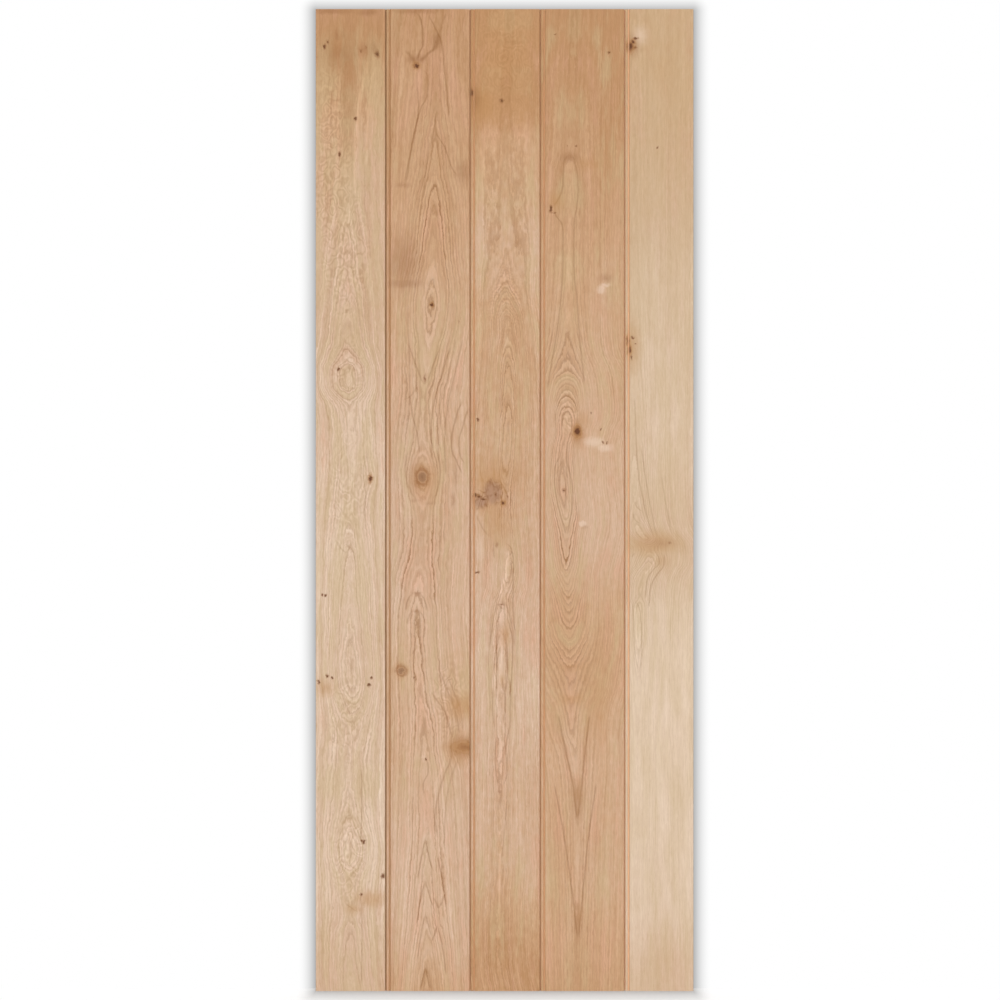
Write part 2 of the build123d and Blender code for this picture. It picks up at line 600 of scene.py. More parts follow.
def build_vein() -> bpy.types.NodeTree:
    """One line that runs up a face.

    Returns:
        The group. Closeness is 1 on the line and 0 from Half Width on, and it fades out
        at the line's ends, Low and High.
    """
    group = Group(
        "Vein", POSITION | numbers("Centre", "Half Width", "Low", "High"), numbers("Closeness")
    )
    graph, source = group.graph, group.given
    across, _, along = graph.split(source["Position"])
    aside = graph.math("ABSOLUTE", graph.math("SUBTRACT", across, source["Centre"]))
    near = graph.ease(graph.math("DIVIDE", aside, source["Half Width"]), 1.0, 0.0)
    length = graph.math("SUBTRACT", source["High"], source["Low"])
    fade = graph.math("MINIMUM", graph.math("MULTIPLY", length, VEIN_FADE_SHARE), VEIN_FADE)
    above = graph.ease(along, source["Low"], graph.math("ADD", source["Low"], fade))
    below = graph.ease(along, source["High"], graph.math("SUBTRACT", source["High"], fade))
    ends = graph.math("MULTIPLY", above, below)
    return group.finish(Closeness=graph.math("MULTIPLY", near, ends))


def build_colour() -> bpy.types.NodeTree:
    """The colour of clear finished oak, from cream to dark honey.

    Returns:
        The group. Tone picks the colour, from a third below 0 for cream to 1 for dark
        honey, Shade lightens it, Blush shifts it from olive to rose, Line darkens it to
        early wood, and Pores adds the pores.
    """
    group = Group(
        "Oak Colour",
        numbers("Tone", "Shade", "Blush", "Line", "Pores"),
        {"Colour": Socket.COLOUR},
    )
    graph, source = group.graph, group.given
    ramp = graph.node("ShaderNodeValToRGB")
    place = graph.math("MULTIPLY_ADD", source["Tone"], 1 - TONE_START, TONE_START)
    graph.feed(ramp.inputs[0], place)
    tones = (Tone.CREAM, Tone.STRAW, Tone.OAK, Tone.GOLD, Tone.HONEY)
    while len(ramp.color_ramp.elements) < len(tones):
        ramp.color_ramp.elements.new(0.5)
    for number, tone in enumerate(tones):
        ramp.color_ramp.elements[number].position = number / (len(tones) - 1)
        ramp.color_ramp.elements[number].color = tone.rgba
    colour = ramp.outputs[0]
    for tone, full in ((Tone.ROSE, ROSE_BLUSH), (Tone.OLIVE, OLIVE_BLUSH)):
        share = graph.math("MULTIPLY", graph.ease(source["Blush"], MEAN_BLUSH, full), BLUSH_SHARE)
        colour = graph.blend(colour, tone.rgba, share)
    shade = graph.join(source["Shade"], source["Shade"], source["Shade"])
    gain = graph.vector_math("MULTIPLY_ADD", shade, SHADE_GAIN, (1.0, 1.0, 1.0))
    shaded = graph.vector_math("MULTIPLY", colour, gain)
    lined = graph.blend(shaded, Tone.LINE.rgba, source["Line"])
    pores = graph.math("MULTIPLY", source["Pores"], PORE_SHARE)
    return group.finish(Colour=graph.blend(lined, Tone.BROWN.rgba, pores))


class GroupKit:
    """The node groups that every oak material shares, each built once."""

    def __init__(self) -> None:
        """Builds the groups."""
        self.rings = build_rings()
        self.fibre = build_fibre()
        self.mark = build_mark()
        self.vein = build_vein()
        self.colour = build_colour()


class MarkKind(Enum):
    """The marks that the boards show."""

    GLOW = "honey coloured patch"
    FLECK = "pale fleck"
    STAIN = "brown patch"
    BURL = "burl"
    EYE = "ringed knot"
    PIN = "pin knot"
    KNOT = "knot"
    RIPPLE = "patch of curly wood"
    CURL = "patch of swirling figure"
    SWELL = "change in the rings alone"


@dataclass(frozen=True)
class Layer:
    """One colour of a mark.

    Attributes:
        tone: The colour.
        start: How close to the mark's centre it starts.
        full: How close to the centre it is full.
        strength: How much of it covers the oak where it is full.
    """

    tone: Tone
    start: float
    full: float
    strength: float


# The colours of each kind of mark, in the order in which they are laid.
LAYERS = {
    MarkKind.GLOW: (Layer(Tone.AMBER, 0.0, 0.9, 0.50),),
    MarkKind.FLECK: (Layer(Tone.PALE, 0.30, 0.75, 0.45),),
    MarkKind.STAIN: (Layer(Tone.BROWN, 0.05, 0.85, 0.42),),
    MarkKind.BURL: (Layer(Tone.AMBER, 0.0, 0.5, 0.25), Layer(Tone.BURL, 0.34, 0.72, 0.42)),
    MarkKind.EYE: (
        Layer(Tone.AMBER, 0.10, 0.55, 0.30),
        Layer(Tone.BROWN, 0.42, 0.62, 0.58),
        Layer(Tone.GOLD, 0.66, 0.71, 0.45),
        Layer(Tone.PIN, 0.70, 0.82, 0.40),
        Layer(Tone.PIN, 0.86, 0.97, 0.20),
    ),
    MarkKind.PIN: (Layer(Tone.BROWN, 0.22, 0.55, 0.55), Layer(Tone.PIN, 0.50, 0.72, 0.84)),
    MarkKind.KNOT: (
        Layer(Tone.AMBER, 0.0, 0.45, 0.40),
        Layer(Tone.BROWN, 0.35, 0.56, 0.62),
        Layer(Tone.KNOT, 0.56, 0.74, 0.86),
    ),
}


@dataclass(frozen=True)
class Mark:
    """One mark on a board.

    Attributes:
        kind: What it is.
        across: Its place across the door, in millimetres.
        along: Its height, in millimetres.
        half_width: Half its width.
        half_length: Half its height.
        share: How much of the kind's own strength it has.
        lift: How many rings it lifts the wood at its centre by.
        reach: How far that goes, in radii of the mark.
    """

    kind: MarkKind
    across: float
    along: float
    half_width: float
    half_length: float
    share: float = 1.0
    lift: float = 0.0
    reach: float = 2.0


def spots(kind: MarkKind, *rows: tuple[float, ...]) -> tuple[Mark, ...]:
    """Makes several marks of one kind.

    Args:
        kind: What they are.
        rows: Each one's across, along, half width, half length and, under 1, its share.

    Returns:
        The marks.
    """
    return tuple(Mark(kind, *row) for row in rows)


@dataclass(frozen=True)
class Vein:
    """One line of the figure that stands out.

    Attributes:
        path: Its place across the door, by the height.
        half_width: Half its width, in millimetres.
        share: How dark it is or, below 0, how pale.
    """

    path: dict[float, float]
    half_width: float
    share: float


@dataclass(frozen=True)
class OakFinish:
    """Solid oak with one piece's own figure.

    A course gives a value by the place along the grain, in millimetres: the height on a
    board, and the distance from a ledge's left end.

    Attributes:
        pith_across: The course of the pith's place across the piece.
        taper: The course of the number of the ring that shows over the pith.
        tone: The course of the tone, from 0, pale straw, to 1, dark honey.
        line: The course of how dark the early wood is.
        core: The course of how many rings the pith lies off the face, which rounds the
            arches.
        base: The course of the number of the ring that the straight lines beside the
            arches go on from.
        blush: The course of how far the piece leans to rose or, below 0, to olive.
        spread: The course of how far from the pith the arches reach.
        ring_width: The width of a ring, in millimetres.
        dark_rings: The numbers of the rings that stand out.
        streak: How much the fibre streaks change the tone.
        ticks: How much the short fibres change the tone.
        cloud: How much the broad patches change the tone.
        mottle: How much the small patches change the tone.
        hue_swing: How much the rose and olive streaks differ.
        beside: How dark the lines beside the arches are, as a share of the arches.
        seam: The warm colour painted into its joints as shade.
        wander: How far the rings stray, in ring widths.
        shiver: How jagged they are, in ring widths.
        seed: Picks the part of each noise that this piece shows.
        grain: Which way the fibres run.
        length: The length of the piece along its grain.
        marks: Its knots, stains and flecks.
        veins: The lines that stand out.
    """

    pith_across: Course
    taper: Course
    tone: Course
    line: Course
    core: Course
    base: Course
    blush: Course
    spread: Course
    ring_width: float
    dark_rings: tuple[int, ...] = ()
    streak: float = 0.42
    ticks: float = 0.34
    cloud: float = 0.22
    mottle: float = 0.14
    hue_swing: float = 1.0
    beside: float = 0.38
    seam: Tone = Tone.SEAM_SHADE
    wander: float = 0.12
    shiver: float = 0.26
    seed: float = 0.0
    grain: Grain = Grain.UP
    length: float = LEAF_HEIGHT
    marks: tuple[Mark, ...] = ()
    veins: tuple[Vein, ...] = ()

    def material(self, name: str, kit: GroupKit) -> bpy.types.Material:
        return OakBuilder(name, self, kit).build()


class OakBuilder:
    """Puts one oak piece's material together.

    Attributes:
        finish: The piece's finish.
        kit: The node groups that it is put together from.
        made: The material.
        graph: Its graph.
        position: The place in the piece: across, below the face and along its grain.
        along: The last of these.
        near: How close the nearest mark of each kind is.
        rings: The outputs of the growth rings.
        fibre: The outputs of the oak fibre.
    """

    def __init__(self, name: str, finish: OakFinish, kit: GroupKit) -> None:
        """Starts the material, and places its marks, rings and fibre.

        Args:
            name: The material's name.
            finish: The piece's finish.
            kit: The node groups.
        """
        self.finish = finish
        self.kit = kit
        self.made = bpy.data.materials.new(name)
        self.made.use_nodes = True
        self.graph = graph = Graph(self.made.node_tree)
        self.position = self.place()
        self.along = graph.split(self.position)[2]
        self.near: dict[MarkKind, bpy.types.NodeSocket] = {}
        lift = self.lay_marks(self.roughen(MARK_RAGGEDNESS))
        common = {"Position": self.position, "Ring_Width": finish.ring_width, "Seed": finish.seed}
        self.rings = graph.place(
            kit.rings,
            Pith_Across=graph.course(self.along, finish.pith_across),
            Taper=graph.course(self.along, finish.taper),
            Core=graph.course(self.along, finish.core),
            Base=graph.course(self.along, finish.base),
            Spread=graph.course(self.along, finish.spread),
            Lift=lift,
            Wander=finish.wander,
            Shiver=finish.shiver,
            **common,
        )
        self.fibre = graph.place(kit.fibre, Rings=self.rings["Rings"], **common)

    def place(self) -> bpy.types.NodeSocket:
        """Works out the position in the piece from the door's own coordinates.

        Returns:
            The position across, below the face and along the grain, in millimetres.
        """
        graph = self.graph
        spot = graph.node("ShaderNodeTexCoord").outputs["Object"]
        x, y, z = graph.split(graph.stretch(spot, (1 / MM_PER_M,) * 3, 0.0))
        if self.finish.grain is Grain.UP:
            return graph.join(x, graph.math("SUBTRACT", y, BOARD_FRONT), z)
        below = graph.math("SUBTRACT", y, BOARD_BACK)
        return graph.join(z, below, graph.math("ADD", x, self.finish.length / 2))

    def roughen(self, swing: float) -> bpy.types.NodeSocket:
        """Moves the position about, so that marks have ragged edges.

        Args:
            swing: How far it is moved at most, across and along the grain.

        Returns:
            The moved position.
        """
        shift = self.graph.scatter(self.position, RAGGED_EDGES, self.finish.seed).outputs["Color"]
        reach = (2 * swing, 0.0, 2 * swing)
        moved = self.graph.vector_math("MULTIPLY_ADD", shift, reach, self.position)
        return self.graph.vector_math("SUBTRACT", moved, (swing, 0.0, swing))

    def lay_marks(self, position: bpy.types.NodeSocket) -> Feed:
        """Places each mark, and keeps how close the nearest of each kind is.

        Args:
            position: Where the marks are measured.

        Returns:
            What the marks lift the rings by.
        """
        graph = self.graph
        lift: Feed = 0.0
        for mark in self.finish.marks:
            laid = graph.place(
                self.kit.mark,
                Position=position,
                Across=mark.across,
                Along=mark.along,
                Half_Width=mark.half_width,
                Half_Length=mark.half_length,
                Lift=mark.lift,
                Reach=mark.reach,
            )
            closeness = graph.math("MULTIPLY", laid["Closeness"], mark.share)
            so_far = self.near.get(mark.kind, 0.0)
            self.near[mark.kind] = graph.math("MAXIMUM", so_far, closeness)
            if mark.lift:
                lift = graph.math("ADD", lift, laid["Lift"])
        return lift

    def draw_veins(self, position: bpy.types.NodeSocket) -> Feed:
        """Adds up the lines that stand out.

        Args:
            position: Where the lines are measured.

        Returns:
            How dark they are or, below 0, how pale.
        """
        graph = self.graph
        total: Feed = 0.0
        along = graph.split(position)[2]
        for vein in self.finish.veins:
            laid = graph.place(
                self.kit.vein,
                Position=position,
                Centre=graph.course(along, vein.path),
                Half_Width=vein.half_width,
                Low=float(min(vein.path)),
                High=float(max(vein.path)),
            )
            total = graph.math("MULTIPLY_ADD", laid["Closeness"], vein.share, total)
        return total

    def draw_lines(self, strength: Feed) -> bpy.types.NodeSocket:
        """Adds up how dark the rings, the knots' own rings and the burl's swirl are.

        Args:
            strength: How dark the early wood is at this height.

        Returns:
            The darkness, from 0.
        """
        graph, rings, near, beside = self.graph, self.rings, self.near, self.finish.beside
        line = rings["Line"]
        for number in self.finish.dark_rings:
            here = graph.math("COMPARE", rings["Number"], float(number), 0.5)
            extra = graph.math("MULTIPLY", here, rings["Edge"])
            line = graph.math("MULTIPLY_ADD", extra, DARK_RING, line)
        full = graph.ease(self.fibre["Blush"], *FAINT_RISE)
        patchy = graph.math("MULTIPLY_ADD", full, 1 - FAINT_PATCH, FAINT_PATCH)
        faint = graph.math("MULTIPLY_ADD", rings["Heart"], 1 - beside, beside)
        line = graph.math("MULTIPLY", line, graph.math("MULTIPLY", strength, patchy))
        line = graph.math("MULTIPLY", line, faint)
        if MarkKind.KNOT in near:
            coil = graph.math("SINE", graph.math("MULTIPLY", near[MarkKind.KNOT], KNOT_COIL))
            shown = graph.ease(near[MarkKind.KNOT], *KNOT_COIL_RISE)
            shown = graph.math("MULTIPLY", shown, graph.ease(coil, 0.0, 1.0))
            line = graph.math("MULTIPLY_ADD", shown, KNOT_COIL_SHARE, line)
        if MarkKind.BURL in near:
            shown = graph.ease(near[MarkKind.BURL], *BURL_RISE)
            shown = graph.math("MULTIPLY", shown, self.fibre["Swirl"])
            line = graph.math("MULTIPLY_ADD", graph.math("MAXIMUM", shown, 0.0), BURL_SHARE, line)
        return line

    def curl(self) -> Feed:
        """Adds up the patches of curly and swirling wood.

        Returns:
            How much lighter they make the oak or, below 0, how much darker.
        """
        graph = self.graph
        shade: Feed = 0.0
        for kind, wave in ((MarkKind.RIPPLE, "Ripple"), (MarkKind.CURL, "Swirl")):
            if kind in self.near:
                near = graph.ease(self.near[kind], *CURL_RISE)
                shown = graph.math("MULTIPLY", near, self.fibre[wave])
                shade = graph.math("MULTIPLY_ADD", shown, CURL_SHADE, shade)
        return shade

    def mix_oak(self) -> bpy.types.NodeSocket:
        """Mixes the oak's own colour, with its figure.

        Returns:
            The colour, as yet without the marks' own colours.
        """
        graph, finish, rings, fibre = self.graph, self.finish, self.rings, self.fibre
        fine = graph.total(
            graph.about_zero(fibre["Streak"], finish.streak / 2),
            graph.about_zero(fibre["Ticks"], finish.ticks / 2),
            graph.about_zero(rings["Band"], finish.streak / 3),
        )
        tone = graph.total(
            graph.course(self.along, finish.tone),
            graph.about_zero(fibre["Cloud"], finish.cloud / 2),
            graph.about_zero(fibre["Mottle"], finish.mottle / 2),
            graph.math("MULTIPLY", fine, FINE_TONE),
        )
        strength = graph.course(self.along, finish.line)
        veins = self.draw_veins(self.roughen(VEIN_RAGGEDNESS))
        line = self.draw_lines(strength)
        gleam = graph.math("MULTIPLY", rings["Gleam"], strength)
        shade = graph.total(
            graph.math("MULTIPLY", fine, FINE_SHADE),
            graph.math("MULTIPLY", gleam, GLEAM_SHADE),
            graph.math("MULTIPLY", graph.math("MINIMUM", veins, 0.0), PALE_VEIN_SHADE),
            self.curl(),
        )
        mean = MEAN_BLUSH * (1 - finish.hue_swing)
        hue = graph.math("MULTIPLY_ADD", fibre["Blush"], finish.hue_swing, mean)
        return graph.place(
            self.kit.colour,
            Tone=tone,
            Shade=shade,
            Blush=graph.math("ADD", hue, graph.course(self.along, finish.blush)),
            Line=graph.math("ADD", line, graph.math("MAXIMUM", veins, 0.0), clamp=True),
            Pores=fibre["Pores"],
        )["Colour"]

    def lay_colours(self, colour: bpy.types.NodeSocket) -> bpy.types.NodeSocket:
        """Lays the marks' own colours over the oak's.

        Args:
            colour: The oak's colour.

        Returns:
            The colour with the marks.
        """
        for kind, layers in LAYERS.items():
            for layer in layers if kind in self.near else ():
                share = self.graph.ease(self.near[kind], layer.start, layer.full)
                share = self.graph.math("MULTIPLY", share, layer.strength)
                colour = self.graph.blend(colour, layer.tone.rgba, share)
        return colour

    def paint_seam_shade(self, colour: bpy.types.NodeSocket) -> bpy.types.NodeSocket:
        """Paints shade into the quirks and the flanks of the beads, as a warm tint where shade
        falls between two boards.

        Args:
            colour: The oak's colour.

        Returns:
            The colour, with painted shade just below the face between two boards.
        """
        graph = self.graph
        across, depth, along = graph.split(self.position)
        low = graph.ease(depth, *SEAM_SHADE_RISE)
        inner = graph.math("SUBTRACT", 1.0, graph.ease(depth, *SEAM_SHADE_FALL))
        between = graph.math("COMPARE", across, 0.0, LEAF_WIDTH / 2 - SIDE_MARGIN)
        upright = graph.math("COMPARE", along, LEAF_HEIGHT / 2, LEAF_HEIGHT / 2 - END_MARGIN)
        share = graph.math("MULTIPLY", graph.math("MULTIPLY", low, inner), SEAM_SHADE_SHARE)
        share = graph.math("MULTIPLY", share, graph.math("MULTIPLY", between, upright))
        return graph.blend(colour, self.finish.seam.rgba, share)

    def relief(self, shader: bpy.types.Node) -> None:
        """Sets the satin sheen, and sinks the early wood and the pores a little.

        Args:
            shader: The material's Principled BSDF.
        """
        graph = self.graph
        line = graph.math("MULTIPLY", self.rings["Line"], SUNK_LINE)
        sunk = graph.math("ADD", line, self.fibre["Pores"])
        rough = graph.math("MULTIPLY_ADD", sunk, SUNK_ROUGHNESS, OAK_ROUGHNESS)
        shader.inputs["Specular IOR Level"].default_value = OAK_GLOSS
        graph.feed(shader.inputs["Roughness"], rough)
        bump = graph.node("ShaderNodeBump")
        bump.inputs["Strength"].default_value = BUMP_STRENGTH
        bump.inputs["Distance"].default_value = BUMP_DEPTH
        graph.feed(bump.inputs["Height"], graph.math("SUBTRACT", 1.0, sunk))
        graph.feed(shader.inputs["Normal"], bump.outputs[0])

    def build(self) -> bpy.types.Material:
        """Colours the piece and gives it its surface.

        Returns:
            The material.
        """
        shader = self.made.node_tree.nodes["Principled BSDF"]
        colour = self.lay_colours(self.mix_oak())
        if self.finish.grain is Grain.UP:
            # Paints the shade in the joints between the boards as a warm tint.
            colour = self.paint_seam_shade(colour)
        self.graph.feed(shader.inputs["Base Color"], colour)
        self.relief(shader)
        return self.made


@dataclass(frozen=True)
class SteelFinish:
    """Plain stainless steel with fine drawing marks.

    Attributes:
        roughness: Its mean roughness.
        spread: How much the marks change it.
        marks: The marks, whose cells are in metres.
    """

    roughness: float = 0.34
    spread: float = 0.12
    marks: Noise = Noise((0.0003, 0.004, 0.0003))

    def material(self, name: str) -> bpy.types.Material:
        """Makes the material.

        Args:
            name: The material's name.

        Returns:
            The material.
        """
        made = bpy.data.materials.new(name)
        made.use_nodes = True
        graph = Graph(made.node_tree)
        shader = made.node_tree.nodes["Principled BSDF"]
        spot = graph.node("ShaderNodeTexCoord").outputs["Object"]
        swing = graph.about_zero(graph.noise(spot, self.marks, 0.0), self.spread)
        shader.inputs["Base Color"].default_value = Tone.STEEL.rgba
        shader.inputs["Metallic"].default_value = 1.0
        graph.feed(shader.inputs["Roughness"], graph.math("ADD", swing, self.roughness))
        return made


BOARD_1 = OakFinish(
    pith_across={
        1981: -311, 1480: -317, 1380: -317, 1300: -318, 1237: -317, 1199: -315, 1072: -307,
        947: -313, 708: -311, 621: -309, 557: -307, 486: -313, 355: -315, 284: -311, 158: -313,
        0: -307,
    },
    taper={
        1981: 14.0, 1640: 13.5, 1587: 13.0, 1540: 12.0, 1490: 11.0, 1440: 10.0, 1395: 9.0,
        1350: 8.0, 1310: 7.0, 1290: 5.5, 1268: 3.6, 1238: 1.4, 1209: 3.6, 1195: 5.5, 1183: 7.0,
        1150: 7.6, 1040: 7.6, 961: 7.4, 925: 6.5, 894: 5.8, 850: 5.3, 799: 4.6, 720: 3.4, 637: 2.3,
        620: 2.4, 607: 3.0, 591: 4.0, 575: 5.0, 560: 6.0, 545: 7.0, 520: 7.6, 482: 8.0, 430: 7.6,
        361: 6.3, 334: 5.0, 310: 3.6, 290: 3.0, 254: 4.2, 227: 6.0, 190: 6.6, 159: 7.0, 122: 6.0,
        60: 5.0, 0: 4.4,
    },
    tone={
        1981: 1.12, 1900: 0.98, 1800: 0.76, 1690: 0.54, 1400: 0.32, 900: 0.13, 650: 0.14,
        300: 0.14, 0: 0.36,
    },
    blush={1981: 0.0, 1900: -0.08, 1750: -0.14, 1500: -0.14, 900: -0.11, 0: -0.11},
    core={1981: 3.0, 1400: 1.6, 0: 1.6},
    base={1981: 12.0, 1587: 11.0, 1183: 8.0, 961: 7.5, 600: 6.5, 0: 6.0},
    spread={1981: 52.0, 1340: 54.0, 1238: 64.0, 1150: 54.0, 0: 50.0},
    ring_width=6.0,
    line={1981: 0.12, 1600: 0.22, 1400: 0.34, 1250: 0.40, 1000: 0.32, 600: 0.40, 0: 0.32},
    beside=0.26,
    seed=3.1,
    wander=0.30,
    shiver=0.31,
    marks=(
        *spots(
            MarkKind.GLOW,
            (-340, 1900, 22, 34, 0.5), (-364, 612, 18, 16, 0.8), (-270, 186, 24, 14),
            (-302, 166, 16, 10, 0.7),
        ),
        # Two of these brown patches, at heights of 1975 and 1977, lie along the top edge and darken
        # it.
        *spots(
            MarkKind.STAIN,
            (-350, 1870, 14, 12, 0.4), (-300, 1888, 20, 10, 0.4), (-350, 1977, 30, 5),
            (-276, 1975, 18, 6), (-338, 1926, 5, 14, 0.8), (-326, 1930, 4, 12, 0.6),
            (-336, 1892, 30, 30, 0.7), (-284, 1900, 12, 12, 0.7), (-263, 1902, 6, 12, 0.8),
        ),
        *spots(
            MarkKind.PIN,
            (-363, 1905, 3, 5), (-357, 1914, 3, 3, 0.8), (-290, 1896, 3, 4, 0.7),
            (-280, 1904, 3, 3, 0.6), (-257, 1890, 5, 8, 0.9), (-300, 1760, 3, 4),
            (-333, 1689, 3, 5), (-336, 1254, 3, 4), (-368, 799, 2, 3), (-361, 799, 2, 3),
            (-375, 624, 3, 4), (-358, 636, 3, 4), (-348, 632, 2, 3), (-269, 631, 3, 3),
            (-274, 617, 3, 4), (-289, 303, 3, 3), (-284, 300, 3, 4), (-246, 231, 4, 5),
            (-290, 195, 3, 3),
        ),
        Mark(MarkKind.KNOT, -271, 1034, 4, 7, lift=-1.2, reach=5),
        *spots(MarkKind.RIPPLE, (-350, 1720, 24, 120, 0.34), (-344, 1600, 28, 70, 0.34)),
        *spots(
            MarkKind.CURL,
            (-348, 1760, 26, 90, 0.7), (-346, 1620, 28, 100, 0.9), (-320, 1490, 38, 100, 0.8),
            (-318, 1250, 32, 60, 0.6), (-316, 1000, 40, 120, 0.5), (-318, 560, 30, 90, 0.6),
            (-314, 280, 30, 80, 0.7),
        ),
    ),
    veins=(
        Vein({1880: -276, 1840: -283, 1779: -295, 1700: -301, 1600: -303}, 6.0, -0.45),
        Vein({1860: -265, 1799: -273, 1728: -277, 1660: -279}, 4.0, -0.35),
        Vein({1376: -319, 1366: -320}, 6.0, 0.35),
        Vein({910: -340, 893: -330, 882: -318}, 4.0, 0.25),
        Vein({880: -300, 893: -312, 905: -322}, 4.0, 0.25),
        Vein({450: -289, 400: -288, 300: -290}, 2.5, 0.35),
        Vein({196: -291, 120: -288, 10: -289}, 2.5, 0.30),
        Vein({1080: -279, 1040: -285, 1000: -280, 960: -287}, 2.5, 0.25),
        Vein({178: -322, 170: -312, 158: -296}, 4.0, 0.25),
    ),
)

